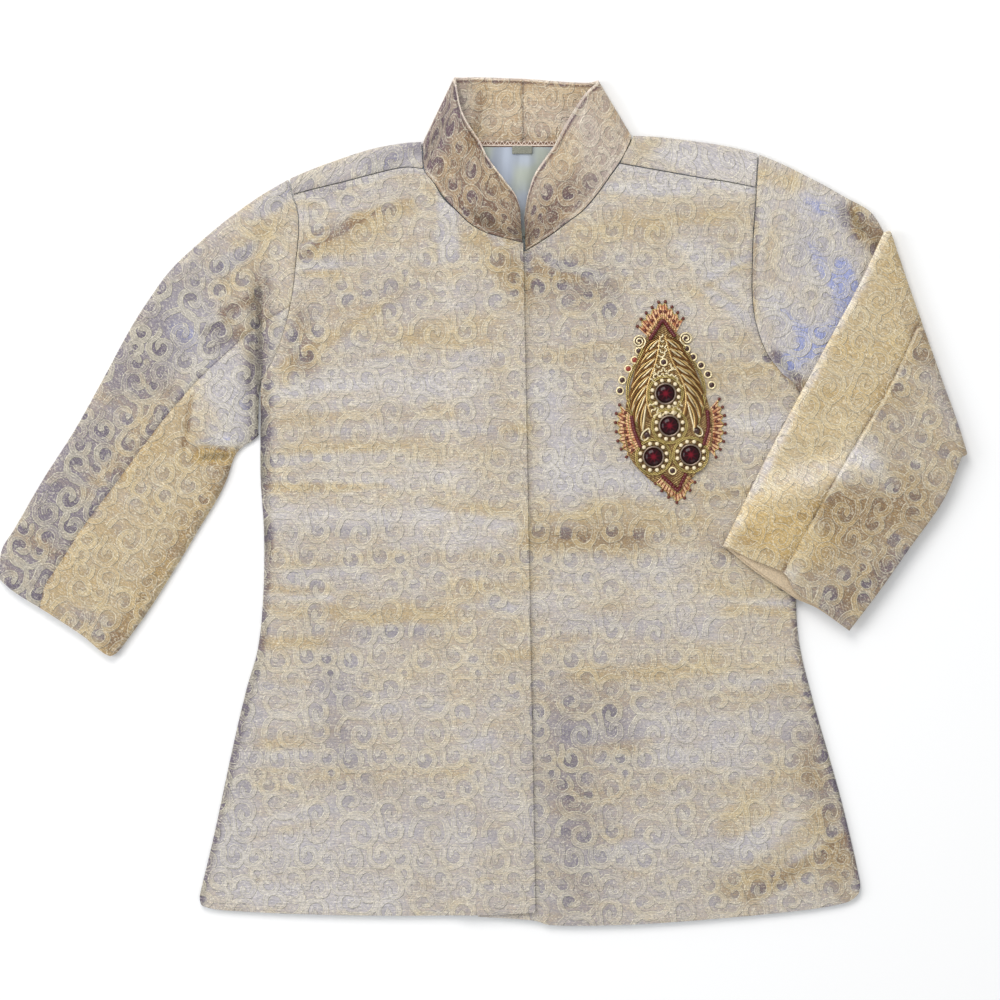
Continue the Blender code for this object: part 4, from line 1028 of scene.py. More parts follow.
right_sleeve_back = lifted(right_outline, level(BACK_MID))
s = np.linspace(0.0022, 1.0, 150)[:, None]
span = width_of(right_outline, s)
seam = mix(0.50, 0.34, smoothstep(s * 1.2))
for name, node, outer, shades in (
        ("right_sleeve_outer", "sleeve_right_top", True, ((0.20, 0.58), (0.74, 0.16))),
        ("right_sleeve_inner", "sleeve_right_under", False, ((0.90, 0.35), (0.34, 0.22)))):
    place, off_seam, off_back = sleeve_panel(s, span, right_sleeve_front, right_sleeve_back, seam, outer)
    place[..., 2] -= seam_dip(off_seam)
    off_armhole = lengths(place - place[:1])[..., 0]
    place[..., 2] -= seam_dip(off_armhole, ARMHOLE_DIP) * (place[..., 2] > FRONT_MID)
    # The panel's painted sheen and shade: the strokes, levels that change from head to cuff, and painted
    # shade along the front seam's dip.
    gold, depth = strokes(RIGHT_SLEEVE_SHEEN, place[..., 0], place[..., 1])
    (low_gold, head_gold), (low_depth, head_depth) = shades
    head = smoothstep(1.0 - s / HEAD_SHARE)
    gold += mix(low_gold, head_gold, head)
    depth += mix(low_depth, head_depth, head) + 0.4 * seam_dip(off_seam, 1.0, 1.0)
    if outer:
        place, gold, depth = place[:, ::-1], gold[:, ::-1], depth[:, ::-1]
    piece = add_sheet(name, [(place, sleeve_grain(place, RIGHT_AXIS), gold, depth)], brocade)
    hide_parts(node)


# ------------------------------------------------------------------------------- the left sleeve
# The same sleeve on the other side, folded up over itself at the elbow, so that its forearm lies back
# side up across the body's edge, with the cuff a little open.

FOLD_FRONT_R = 1.8
FOLD_BACK_R = 3.65
FOLD_LOW = FRONT_MID + 0.2
FORE_LOW = FOLD_LOW + 2 * FOLD_FRONT_R
FORE_HIGH = BACK_MID + 2 * FOLD_BACK_R
CUFF_OPEN = 1.9
FACED_ROWS = 7          # of the grid, inside the cuff
LEFT_FRONT_SEAM = 0.47
UPPER_AXIS = (0.96, -0.27)
FORE_AXIS = (-0.49, -0.87)
# How much painted sheen and painted shade the upper arm has between the strokes.
UPPER_GOLD = 0.35       # how gold and how deep the upper arm is between the strokes
UPPER_SHADE = 0.18
LEFT_TIP = LEFT_SHOULDER_FOLD[0]
LEFT_UPPER_OUTER = [LEFT_TIP, (180.6, 200.8), (203.4, 189.2), (216, 182), (231.8, 172.8)]
LEFT_UPPER_INNER = [(191, 64.6), (206, 57.6), (240, 40)]
FOLD_LINE = [(244, 161.6), (253.8, 132.4), (264.2, 102.6), (275.6, 70.4), (284.8, 45), (290.4, 27)]
LEFT_FORE_OUTER = [(226.4, 131.2), (202.2, 86.4), (172, 30), (143.6, -27.2)]
LEFT_FORE_INNER = [(275.4, 0), (254.4, -30), (237.6, -54), (219.2, -78.2)]
LEFT_CUFF_TOP = [
    (143.6, -27.2), (161.4, -35.8), (180, -43.8), (186.2, -54.3), (200.5, -64.1), (219.2, -78.2),
]
LEFT_CUFF_LOW = [
    (143.6, -27.2), (162.7, -42.6), (182.3, -55.6), (186.8, -58.8), (200.5, -65), (219.2, -78.2),
]
LEFT_SLEEVE_FOLDS = [
    # x0, y0, x1, y1, width, height
    (188, 186, 214, 148, 7, -0.6), (172, 176, 196, 110, 9, 0.7), (166, 150, 186, 120, 3, -0.5),
    (178, 196, 204, 160, 3, 0.5), (206, 150, 232, 152, 3, 0.4),
]
FOREARM_FOLDS = [
    # x0, y0, x1, y1, width, height
    (214, 110, 262, 92, 7, 0.5), (196, 74, 262, 60, 8, -0.4), (176, 32, 232, 16, 7, 0.5),
    (168, 10, 216, -4, 5, -0.3), (240, 30, 274, 16, 5, -0.4), (216, -6, 256, -22, 5, 0.4),
]
# Painted sheen and shade on the upper arm, as in the body's strokes.
UPPER_SHEEN = [
    # x0, y0, x1, y1, width, gold, depth
    (198, 150, 216, 116, 7, -1.1, 0.15), (198, 178, 210, 172, 7, -1.2, 0.05),
    (216, 140, 226, 116, 5, -1.8, 0.2), (214, 130, 222, 112, 4, -1, 0), (222, 170, 242, 148, 7, 0.5, 1.3),
    (222, 172, 226, 158, 2, 0.6, 0.4), (186, 84, 206, 100, 8, -1.9, 0.1),
    (178, 114, 188, 104, 6, -1.2, -0.05), (176, 204, 226, 174, 6, 0, -0.22),
    (172, 150, 180, 110, 6, 0.2, 0.1), (168, 196, 200, 184, 6, 0.4, 0),
    (163.5, 180, 162, 110, 1.8, 0.3, 0.4), (176, 124, 196, 132, 6, -0.1, -0.3),
    (176, 86, 192, 68, 3, 0.2, 1.1), (164, 186, 190, 178, 8, 0, -0.17),
]
# Painted sheen and shade on the forearm; the first rows paint the highlight along its folded edge.
FOREARM_SHEEN = [
    # x0, y0, x1, y1, width, gold, depth
    (242, 160, 153, -12, 3.2, -0.5, -1), (155, -12, 143, -28, 3.2, -0.5, -1.1),
    (243, 150, 254, 112, 12, 0.3, 0.26), (214, 92, 262, 88, 10, 0.3, 0.24),
    (196, 60, 238, 66, 8, 0.3, 0.24), (190, 44, 232, 44, 5, 0.2, -0.2), (158, 4, 224, 24, 9, -0.35, -1),
    (166, -18, 214, -1, 7, 0.3, 0.6), (156, -4, 196, -28, 14, 0.6, -0.08),
    (152, -22, 178, -30, 7, 0.3, 0.5), (214, -62, 240, -40, 8, 0.1, 0.3),
    (186, -42, 200, -18, 4, -0.3, -0.7), (250, 120, 282, 40, 6, -0.3, 0.05),
    (246, 40, 282, 10, 9, -0.1, -0.1), (226, 30, 240, 10, 7, -0.3, -0.2),
    (232, -50, 252, -34, 6, -0.4, 0.25), (204, -20, 244, -4, 14, 0.3, 0.38),
    (196, -50, 214, -66, 8, -0.2, 0.1), (252, 90, 272, 46, 10, 0, -0.18),
]

fold_line = aside(line(FOLD_LINE), -(FOLD_BACK_R + WALL / 2))
fold_top, fold_foot = fold_line(np.array(0.0)), fold_line(one)
left_upper = patch(line([LEFT_TIP] + LEFT_ARMHOLE), fold_line,
                   line(LEFT_UPPER_OUTER + [fold_top]), line(LEFT_UPPER_INNER + [fold_foot]))
fore_sides = (line([fold_top] + LEFT_FORE_OUTER), line([fold_foot] + LEFT_FORE_INNER))
fore_low = patch(fold_line, line(LEFT_CUFF_LOW), *fore_sides)
fore_high = patch(fold_line, line(LEFT_CUFF_TOP), *fore_sides)
fold_run = fold_foot - fold_top
fold_out = np.array([-fold_run[1], fold_run[0]]) / lengths(fold_run)


def folded_over(low_z, radius):
    """A layer's half turn: s is the angle of the turn."""
    def at(s, t):
        s, t = np.broadcast_arrays(s, t)
        flat = fold_line(t) + fold_out * radius * np.sin(s)[..., None]
        return np.dstack([flat, low_z + radius * (1.0 - np.cos(s))])

    return at


def upper_front(s, t):
    flat = left_upper(s, t)
    x, y = flat[..., 0], flat[..., 1]
    body = front_height(x, y) + folds(LEFT_SLEEVE_FOLDS, x, y)
    puff = PUFF * np.sin(math.pi * t) * smoothstep(s / 0.2) * smoothstep((1.0 - s) / 0.5)
    return np.dstack([flat, mix(body, FOLD_LOW, smoothstep(s)) + puff])


def fore_over(s, t):
    flat = fore_high(s, t)
    swell = 1.1 * smoothstep(s / 0.3) + CUFF_OPEN * smoothstep((s - 0.55) / 0.45)
    swell = swell * np.sin(math.pi * t) + folds(FOREARM_FOLDS, flat[..., 0], flat[..., 1])
    return np.dstack([flat, FORE_HIGH + np.maximum(swell, 0.0)])


upper_back = lifted(left_upper, level(BACK_MID))
fore_under = lifted(fore_low, level(FORE_LOW))


def plain_cloth(name, colour, roughness=0.7, weave=0.5):
    """A matt cloth with a fine plain weave."""
    made, tree, shader = new_material(name, Roughness=roughness)
    flecks = noise(tree, object_place(tree), (1400.0, 2600.0, 1400.0), roughness=0.6)
    dark = tuple(0.72 * value for value in linear(colour)[:3]) + (1.0,)
    woven = tint(tree, ramp(tree, flecks, 0.35, 0.65), dark, linear(colour))
    feed(tree, shader.inputs["Base Color"], woven)
    raise_by(tree, shader, flecks, weave)
    return made


facing_cloth = plain_cloth("facing_cloth", (222, 200, 168), 0.5)

upper_s = np.linspace(0.0065, 1.0, 64)[:, None]
turn_s = np.radians(np.linspace(0, 180, 15)[1:-1])[:, None]
fore_s = np.linspace(0.0, 1.0, 100)[:, None]
stretches = (
    (upper_s, width_of(left_upper, upper_s), upper_front, upper_back),
    (turn_s, np.full_like(turn_s, lengths(fold_run)[0]),
     folded_over(FOLD_LOW, FOLD_FRONT_R), folded_over(BACK_MID, FOLD_BACK_R)),
    (fore_s, width_of(fore_low, fore_s), fore_under, fore_over),
)
# Each panel's forearm has its own level of painted sheen and painted shade.
for name, node, outer, fore_gold, fore_shade in (
        ("left_sleeve_outer", "sleeve_left_top", True, 0.95, 0.06),
        ("left_sleeve_inner", "sleeve_left_under", False, 0.70, 0.50)):
    parts = [sleeve_panel(*stretch, LEFT_FRONT_SEAM, outer) for stretch in stretches]
    place, off_seam, off_back = (np.concatenate(part) for part in zip(*parts))
    forearm = np.arange(len(place))[:, None] >= len(upper_s)
    place[..., 2] -= seam_dip(off_seam) * ~forearm
    place[..., 2] -= seam_dip(off_back) * forearm
    off_armhole = lengths(place - place[:1])[..., 0]
    place[..., 2] -= seam_dip(off_armhole, ARMHOLE_DIP) * (place[..., 2] > FRONT_MID) * ~forearm
    x, y = place[..., 0], place[..., 1]
    fore, upper = strokes(FOREARM_SHEEN, x, y), strokes(UPPER_SHEEN, x, y)
    gold = np.where(forearm, fore_gold + fore[0], UPPER_GOLD + upper[0])
    depth = np.where(forearm, fore_shade + fore[1], UPPER_SHADE + upper[1])
    # Beside the back seam of the forearm: a wide painted shade in the valley on the outer panel, a thin
    # painted highlight along the inner panel's folded edge, and painted shade on the seam line itself.
    if outer:
        beside_seam = 0.35 * seam_dip(off_back, 1.0, 5.0)
    else:
        beside_seam = -1.0 * seam_dip(off_back - 1.6, 1.0, 0.7)
    depth += forearm * (0.8 * seam_dip(off_back, 1.0, 1.0) + beside_seam)
    grain = np.where(forearm[..., None], sleeve_grain(place, FORE_AXIS), sleeve_grain(place, UPPER_AXIS))
    if not outer:
        place, grain, gold, depth = place[:, ::-1], grain[:, ::-1], gold[:, ::-1], depth[:, ::-1]
    piece = add_sheet(name, [(place, grain, gold, depth)], brocade)
    piece.data.materials.append(brocade)
    piece.data.materials.append(facing_cloth)
    faced = np.zeros((len(place) - 1, place.shape[1] - 1), np.int32)
    faced[-FACED_ROWS:] = 2
    piece.data.polygons.foreach_set("material_index", faced.ravel())
    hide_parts(node)


# ----------------------------------------------------------------------------------- the collar
# A stiffened stand collar in the same brocade, both sides, in two halves with a seam at the centre back.
# Its back lies inside up on the table, and its fronts fold forward over the chest and meet.

COLLAR_WALL = 1.6
COLLAR_RIGHT = [
    # foot x, y, z, top x, y, z; a foot with no height meets the front
    (23.85, 213.2, 0.8, 23.85, 252.6, 0.8), (8, 213.2, 0.8, 11, 253, 0.8),
    (-10, 213.2, 0.8, -1, 253.4, 0.8), (-23, 213.2, 0.8, -8, 253.4, 0.8),
    (-31.5, 213.3, 0.8, -12.4, 253.2, 0.9), (-34.2, 213.6, 1.3, -15.2, 253.2, 2.2),
    (-35.4, 213.6, 2.8, -16.6, 252.6, 4.6), (-35.6, 212.2, 3.9, -16.6, 251, 7.2),
    (-35.6, 209, 4.4, -15.7, 247.6, 8.8), (-35.6, 203.6, None, -15, 242.8, 9.2),
    (-34, 196.2, None, -12.8, 233.4, 9.2), (-29, 190.1, None, -8.2, 224.2, 8.9),
    (-23, 181.3, None, -2.1, 215, 8.5), (-15.8, 173.8, None, 2.4, 205.8, 8.1),
    (-8, 166.2, None, 8.4, 197.4, 7.8), (1.2, 160.7, None, 14.8, 189, 7.5),
    (11.8, 157.4, None, 19.4, 182.6, 7.3), (23.6, 154.3, None, 22.1, 174.6, 7.1),
]
COLLAR_LEFT = [
    (24.15, 213.2, 0.8, 24.15, 252.6, 0.8), (42, 213.2, 0.8, 40, 251.4, 0.8),
    (60, 213.5, 0.8, 52, 250.5, 0.8), (74, 214.6, 0.8, 60, 250.2, 0.8),
    (84.2, 216.2, 0.8, 64.4, 250.4, 0.9), (87, 217.4, 1.3, 67.2, 251, 2.2),
    (88.2, 217.8, 2.8, 68.4, 250.8, 4.6), (88.2, 216.4, 3.9, 67.8, 249.2, 7.2),
    (86.9, 212.6, 4.4, 65, 246.8, 8.8), (84.4, 207.4, None, 60.2, 241.8, 9.2),
    (81.2, 202, None, 54.6, 233.4, 9.2), (76.2, 194.9, None, 48.5, 223, 8.8),
    (68.9, 184.6, None, 42.2, 211.6, 8.2), (59.8, 173.9, None, 35.8, 202.6, 7.6),
    (50.7, 166.9, None, 30.8, 194.8, 7), (40.2, 159, None, 27.6, 185.6, 6.4),
    (31.6, 153.4, None, 25.9, 177.6, 6), (25.5, 149.6, None, 24.9, 168.6, 5.6),
]
# Painted sheen and shade on the collar, as in the body's strokes.
COLLAR_SHEEN = [
    # x0, y0, x1, y1, width, gold, depth
    (-34, 204, -14, 240, 8, -0.6, 0.15), (-36, 200, -24, 226, 3, -0.6, 0.55),
    (-24, 196, -10, 210, 9, 0.2, -0.1), (-14, 178, 6, 168, 6, 0.1, 0.36), (0, 166, 22, 156, 7, 0.2, 0.7),
    (4, 190, 14, 182, 6, 0.3, -0.1), (-6, 214, 0, 244, 3, 0.2, 0.45), (12, 218, 40, 217, 3, 0.3, 0.3),
    (6, 244, 54, 246, 8, 0.3, -0.1), (60, 226, 78, 200, 9, -0.3, -0.15), (46, 196, 54, 214, 6, 0.2, -0.2),
    (30, 168, 48, 184, 10, 0.1, 0.62), (30, 158, 44, 166, 7, 0.2, 0.6), (56, 180, 72, 196, 4, -0.2, 0.2),
    (24, 250, 24, 214, 1, 0, 0.5),
]
COLLAR_EDGE = 38.0      # from foot to edge along the cloth
COLLAR_COLUMNS = 120
# How much painted shade the collar has between the strokes.
COLLAR_SHADE = 0.17
COLLAR_SWELL = 0.8

collar_brocade = make_brocade(
    "collar_brocade",
    ground={"pale_lilac": (188, 172, 162), "pale_gold": (186, 160, 124),
            "shaded_lilac": (112, 92, 100), "shaded_gold": (122, 94, 72)},
    scroll={"pale_lilac": (208, 196, 180), "pale_gold": (208, 184, 146),
            "shaded_lilac": (168, 148, 128), "shaded_gold": (178, 148, 108)},
)

share = steps_through(0.0, (0.06, 7), (0.93, 28), (1.0, 9))[None, :]
from_foot, from_edge = share * COLLAR_EDGE, (1.0 - share) * COLLAR_EDGE
# A painted highlight along the collar's folded edge, and a weaker one near its foot.
pressed = np.exp(-((from_edge / 1.1) ** 4)) + 0.4 * np.exp(-(((from_foot - 1.5) / 0.7) ** 2))
# A darker line about 2 mm in from the edge.
line_inside_edge = np.exp(-(((from_edge - 2.1) / 0.6) ** 2))
for name, node, sections, height, base_gold, chest_shade in (
        ("right_collar", "collar_right", COLLAR_RIGHT, right_front_height, 0.64, 0.58),
        ("left_collar", "collar_left", COLLAR_LEFT, front_height, 0.50, 0.06)):
    ends = []
    for foot_x, foot_y, foot_z, *rest in sections:
        if foot_z is None:
            foot_z = float(height(np.array(foot_x), np.array(foot_y)))
        ends.append((foot_x, foot_y, foot_z, *rest))
    along = line(ends, np.arange(len(ends), dtype=float))(np.linspace(0.0, 1.0, COLLAR_COLUMNS))[:, None, :]
    foot, rim = along[..., :3], along[..., 3:]
    place = mix(foot, rim, share[..., None])
    place[..., 2] += COLLAR_SWELL * smoothstep((rim[..., 2] - 2.0) / 5.0) * np.sin(math.pi * share)
    run = np.cumsum(lengths(np.diff(place[:, 20], axis=0, prepend=place[:1, 20])))
    grain = np.dstack(np.broadcast_arrays(run[:, None], from_foot))
    gold, depth = strokes(COLLAR_SHEEN, place[..., 0], place[..., 1])
    # Where the collar lies over the chest it gets painted shade, more on the right collar than the left.
    on_chest = smoothstep((rim[..., 2] - 4.0) / 4.0)
    gold = np.maximum(gold + base_gold - 0.6 * pressed, -0.2)
    depth += COLLAR_SHADE + chest_shade * on_chest + line_inside_edge - 1.6 * pressed
    if name == "left_collar":
        place, grain, gold, depth = place[::-1], grain[::-1] * (-1.0, 1.0), gold[::-1], depth[::-1]
    piece = add_sheet(name, [(place, grain, gold, depth)], collar_brocade, wall=COLLAR_WALL, lined=False)
    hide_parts(node)


# --------------------------------------------------------- neck lining, piping, label and facing
# Inside the neck the satin lining of the back shows. A narrow tape covers the collar seam, held down by
# a zigzag of cream thread, with a blank label under its middle. A facing finishes the folded cuff.

LINING_ROWS = [
    # y, left_x, right_x
    (211.9, -20, 66), (200, -14, 60), (186, -4, 50), (172, 6, 42), (158, 14, 34),
]
LINING_WALL = 1.0
FACING_WALL = 1.0
LABEL_SIZE = (12.0, 4.6, 0.9)
TAPE_WALL = 0.9
TAPE_ENDS = (-14.0, 60.0)
ZIGZAG_STITCHES = 22


def plain_sheet(name, place, material, wall, gold=0.0, depth=0.0):
    """A cloth of one layer, its threads along x and y."""
    return add_sheet(name, [(place, place[..., :2], gold, depth)], material, wall=wall, lined=False)


lining_mid = BACK_MID + WALL / 2 + GAP + LINING_WALL / 2
ends = line(LINING_ROWS)(np.linspace(0.0, 1.0, 60))
share = np.linspace(0.0, 1.0, 60)
x = mix(ends[:, 1:2], ends[:, 2:3], share)
y = np.broadcast_to(ends[:, 0:1], x.shape)
sag = 0.35 * np.sin(x * 0.21 + y * 0.11) * np.sin(math.pi * share) + 0.25 * np.sin(x * 0.47 - y * 0.05)
z = lining_mid + np.maximum(sag, 0.0) * smoothstep((208.0 - y) / 20.0)
piece = plain_sheet("neck_satin", np.dstack([x, y, z]), lining, LINING_WALL)
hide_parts("neck_lining")

label_cloth = plain_cloth("label_cloth", (146, 146, 132))
label_width, label_depth, label_wall = LABEL_SIZE
x, y = np.meshgrid(COLLAR_SEAM_X - 0.5 + label_width * np.linspace(-0.5, 0.5, 13),
                   NECK_Y - 1.0 - label_depth * np.linspace(0.0, 1.0, 6))
z = np.full_like(x, lining_mid + (LINING_WALL + label_wall) / 2 + GAP)
piece = plain_sheet("blank_label", np.dstack([x, y, z]), label_cloth, label_wall)
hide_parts("neck_label")

s, t = np.meshgrid(np.linspace(0.925, 0.994, 8), np.linspace(0.13, 0.86, 50), indexing="ij")
facing = lifted(fore_low, level(FORE_LOW + WALL / 2 + GAP + FACING_WALL / 2))
piece = plain_sheet("cuff_facing", facing(s, t), facing_cloth, FACING_WALL, 0.8, 0.2)
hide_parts("cuff_facing_left")


def select_only(piece):
    bpy.ops.object.select_all(action="DESELECT")
    piece.select_set(True)
    bpy.context.view_layer.objects.active = piece


def add_thread(name, lines, radius, material):
    """Rounded threads or wires along lines of (x, y, z) in mm, as one mesh."""
    route = bpy.data.curves.new(name, "CURVE")
    route.dimensions = "3D"
    route.bevel_depth = radius * MM
    route.bevel_resolution = 2
    route.use_fill_caps = True
    for points in lines:
        spline = route.splines.new("POLY")
        spline.points.add(len(points) - 1)
        corners = np.column_stack([np.array(points) * MM, np.ones(len(points))])
        spline.points.foreach_set("co", corners.ravel())
    made = bpy.data.objects.new(name, route)
    bpy.context.scene.collection.objects.link(made)
    select_only(made)
    bpy.ops.object.convert(target="MESH")
    made = bpy.context.object
    made.name = made.data.name = name
    made.data.materials.append(material)
    bpy.ops.object.shade_smooth()
    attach(made, "root")
    return made


tape_z = COLLAR_WALL + GAP + TAPE_WALL
tape_from, tape_to = TAPE_ENDS
x, y = np.meshgrid(np.linspace(tape_from, tape_to, 60), NECK_Y + np.linspace(1.6, -1.4, 7))
z = tape_z + 0.25 * np.cos((y - NECK_Y) * 0.9) - 0.35
tape_cloth = plain_cloth("tape_cloth", (136, 106, 86))
piece = plain_sheet("neck_tape", np.dstack([x, y, z]), tape_cloth, TAPE_WALL)
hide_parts("neck_piping")

x = np.linspace(tape_from + 0.6, tape_to - 0.6, 2 * ZIGZAG_STITCHES + 1)
y = NECK_Y + np.where(np.arange(len(x)) % 2, 2.0, -0.5) + 0.15 * np.sin(5.0 * x)
zigzag = np.column_stack([x, y, np.full(len(x), tape_z + 0.55)])
row = np.column_stack([x, np.full(len(x), NECK_Y - 0.5), np.full(len(x), tape_z + 0.5)])
cream_thread = plain_cloth("cream_thread", (246, 226, 210), 0.5, 0.2)
add_thread("neck_zigzag", [zigzag, row], 0.42, cream_thread)


# --------------------------------------------------------------- the almond: its couched ground
# A zardozi almond worked on a stiff backing and sewn to the left chest. Gold thread is laid over the
# backing and couched down. It leans a little outwards on the way down, as the front hangs.

BUTA_TIP = (106.8, 109.2)
BUTA_FOOT = (113.4, 1.8)
BUTA_WALL = 1.2
BUTA_OUTLINE = [
    # share of the way down, half of the width there
    (0, 0.6), (0.095, 9), (0.15, 13.2), (0.235, 16.8), (0.346, 19.8), (0.458, 24), (0.626, 26.4),
    (0.765, 24), (0.877, 15), (0.961, 4.8), (1, 0.6),
]

buta_length = math.dist(BUTA_TIP, BUTA_FOOT)
buta_down = (np.array(BUTA_FOOT) - BUTA_TIP) / buta_length
buta_across = np.array([-buta_down[1], buta_down[0]])


def on_buta(places, lift=0.0):
    """Places (across, down) from the almond's tip, in mm, as (x, y, z) this far above its top."""
    places = np.array(places, float)
    across, down = places[..., :1], places[..., 1:]
    flat = BUTA_TIP + buta_across * across + buta_down * down
    shares, halves = zip(*BUTA_OUTLINE)
    half = np.interp(down[..., 0] / buta_length, shares, halves)
    pad = BUTA_WALL * smoothstep((half - abs(across[..., 0])) / 1.6)
    z = front_height(flat[..., 0], flat[..., 1]) + WALL / 2 + pad + lift
    return np.concatenate([flat, z[..., None]], axis=-1)


def thread_metal(name, dark, light, twist):
    """Metal thread wound round a core: light and dark turns, about this many to the mm."""
    made, tree, shader = new_material(name, Metallic=0.75, Roughness=0.34)
    place = object_place(tree)
    turned = vector(tree, "DOT_PRODUCT", place, (620.0 * twist, 780.0 * twist, 0.0))
    wave = number(tree, "MULTIPLY_ADD", number(tree, "SINE", turned), 0.5, 0.5)
    flecks = noise(tree, place, (900.0, 900.0, 900.0), roughness=0.6)
    share = number(tree, "MULTIPLY_ADD", flecks, 0.6, product(tree, wave, 0.5))
    two_tone(tree, shader, ramp(tree, share, 0.2, 0.8), dark, light)
    raise_by(tree, shader, share, 0.15)
    return made


gold_thread = thread_metal("gold_thread", (164, 122, 62), (242, 212, 148), 6.0)
pale_gold = thread_metal("pale_gold", (206, 182, 128), (254, 244, 212), 7.0)
green_gold = thread_metal("green_gold", (128, 104, 54), (216, 196, 128), 6.0)
brown_gold = thread_metal("brown_gold", (66, 38, 16), (140, 98, 52), 6.0)

couched, tree, shader = new_material("couched_gold", Metallic=0.5, Roughness=0.45)
place = grain_place(tree)
laid = number(tree, "MULTIPLY_ADD", slubby(tree, place, 3.0, 3.0), 7.0,
              vector(tree, "DOT_PRODUCT", place, (2.6, 4.6, 0.0)))
rib = number(tree, "MULTIPLY_ADD", number(tree, "SINE", laid), 0.5, 0.5)
dark_gap = slubby(tree, place, 1.6, 2.4, roughness=0.6)
share = product(tree, rib, ramp(tree, dark_gap, 0.32, 0.62))
two_tone(tree, shader, share, (92, 60, 30), (214, 184, 122))
raise_by(tree, shader, share, 0.4)

down = np.linspace(0.0, 1.0, 110)[:, None]
shares, halves = zip(*BUTA_OUTLINE)
profile = line(np.column_stack([np.array(halves), np.array(shares) * buta_length]))(down[:, 0])
across = np.linspace(-1.0, 1.0, 49)[None, :] * profile[:, :1]
local = np.dstack([across, np.broadcast_to(profile[:, 1:], across.shape)])
flat = BUTA_TIP + buta_across * local[..., :1] + buta_down * local[..., 1:]
z = front_height(flat[..., 0], flat[..., 1]) + WALL / 2 + GAP + BUTA_WALL / 2 - 0.1
folded = np.dstack([abs(local[..., 0]), local[..., 1]])     # so the ribs slant outwards on both sides
piece = add_sheet("almond_ground", [(np.dstack([flat, z]), folded, 0.0, 0.0)], couched,
                  wall=BUTA_WALL - 0.2, lined=False)
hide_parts("buta_base")


# ----------------------------------------------------- the almond: leaves, volutes and dabka bits
# Sprays of coiled gold wire, three strands to a leaf, sweep down and out from the almond's middle. A
# volute stands at each shoulder, and the middle is filled with cut bits of pale wire, sewn at all angles.

LEAVES_A_SIDE = 8
STRANDS = 3
STRAND_STEP = 1.35
LEAVES_OUTER = [(12, 17), (15.8, 24), (20.2, 31), (23, 39), (23.6, 47), (21.6, 56), (18.4, 64)]
LEAVES_INNER = [(1.6, 11), (3, 19), (5.2, 27), (8.8, 35), (11.4, 43), (11.6, 51), (9.6, 59)]
VOLUTE = (14.2, 13.4)
BIT_STEP = 2.9
MIDDLE_HALF = [
    # down, half of the middle's width there
    (11, 1.0), (19, 2.4), (27, 4.4), (35, 7.8), (43, 10.4), (51, 10.4), (60, 7.5),
]


def leaf_strands(side):
    """The strands of one side's leaves, as lines of (across, down)."""
    roots = line([(3.0, 13.0), (4.4, 20.0), (6.6, 27.0), (10.2, 35.0), (12.6, 43.0), (12.8, 51.0)])
    tips = line([(11.6, 22.0), (16.8, 32.0), (20.6, 42.0), (21.8, 51.5), (20.0, 60.0), (16.0, 67.0)])
    t = np.linspace(0.0, 1.0, 13)[:, None]
    bow = np.sin(math.pi * t)
    strands = []
    for leaf in range(LEAVES_A_SIDE):
        u = np.array(leaf / (LEAVES_A_SIDE - 1))
        root, tip = roots(u), tips(u)
        run = tip - root
        out = np.array([run[1], -run[0]]) / math.hypot(*run)
        for strand in range(STRANDS):
            off_middle = STRAND_STEP * (strand - (STRANDS - 1) / 2)
            curve = root + run * t + out * (off_middle * (0.35 + 0.9 * bow) + 1.3 * bow)
            strands.append(curve * (side, 1.0))
    return strands


def rotated(places, angle):
    cos, sin = math.cos(angle), math.sin(angle)
    return places @ np.array([[cos, sin], [-sin, cos]])


def spiral(centre, radius, turns, side):
    angle = np.linspace(0.0, 2.0 * math.pi * turns, 30)
    reach = radius * (1.0 - 0.82 * angle / angle[-1])
    turned = math.pi / 2 + angle
    return np.column_stack([centre[0] + side * reach * np.cos(turned), centre[1] + reach * np.sin(turned)])


bright, leafy, plain, green, volutes, bits = [], [], [], [], [], []
along = np.linspace(0.0, 1.0, 40)
for side in (-1.0, 1.0):
    for count, strand in enumerate(leaf_strands(side)):
        (bright, leafy, plain)[count % STRANDS].append(on_buta(strand, 0.5 + 0.3 * (count % STRANDS)))
    volutes.append(on_buta(spiral((side * VOLUTE[0], VOLUTE[1]), 4.2, 2.1, side), 0.5))
    outer, inner = (line(np.array(edge) * (side, 1.0)) for edge in (LEAVES_OUTER, LEAVES_INNER))
    for edge, aside_by, lot in ((outer, 0.0, green), (outer, 1.1, green),
                                (inner, 0.0, leafy), (inner, -1.1, plain)):
        lot.append(on_buta(aside(edge, side * aside_by)(along), 0.45))

dice = np.random.default_rng(11)
t = np.linspace(-1.0, 1.0, 9)
bit = np.column_stack([1.75 * t, 0.75 * np.sin(t * math.pi)])
for down_by in np.arange(11.5, 60.0, BIT_STEP):
    half = float(np.interp(down_by, *zip(*MIDDLE_HALF)))
    for across_by in np.arange(-half + 0.8, half - 0.4, BIT_STEP):
        spot = np.array([across_by, down_by]) + dice.uniform(-0.5, 0.5, 2)
        on_stone = np.hypot(spot[0] + 0.8, spot[1] - 45.6) < 9.8
        if on_stone or np.hypot(spot[0] + 0.3, spot[1] - 26.8) < 3.6:
            continue
        bits.append(on_buta(spot + rotated(bit, dice.uniform(0.0, math.pi)), 0.5))

# Each leaf's three strands are gold wire in three tones, pale on one side and dark brown on the other:
# partly the wires' own tones, partly a painted highlight and painted shade across the leaf.
for name, lines, radius, material in (
        ("dark_wire", plain, 0.6, brown_gold), ("leaf_wire", leafy, 0.6, gold_thread),
        ("pale_wire", bright, 0.62, pale_gold), ("dabka_bits", bits, 0.52, pale_gold),
        ("green_wire", green, 0.45, green_gold), ("volute_wire", volutes, 0.6, pale_gold)):
    add_thread(name, lines, radius, material)


# ------------------------------------------------------------- the almond: stones, pearls and rings
# Four garnet glass cabochons in thin dark bezels, each with a ring of twelve pearl beads and two rounds
# of green-gold thread. Cup sequins run down both shoulders, and one sits at the middle and at the foot.

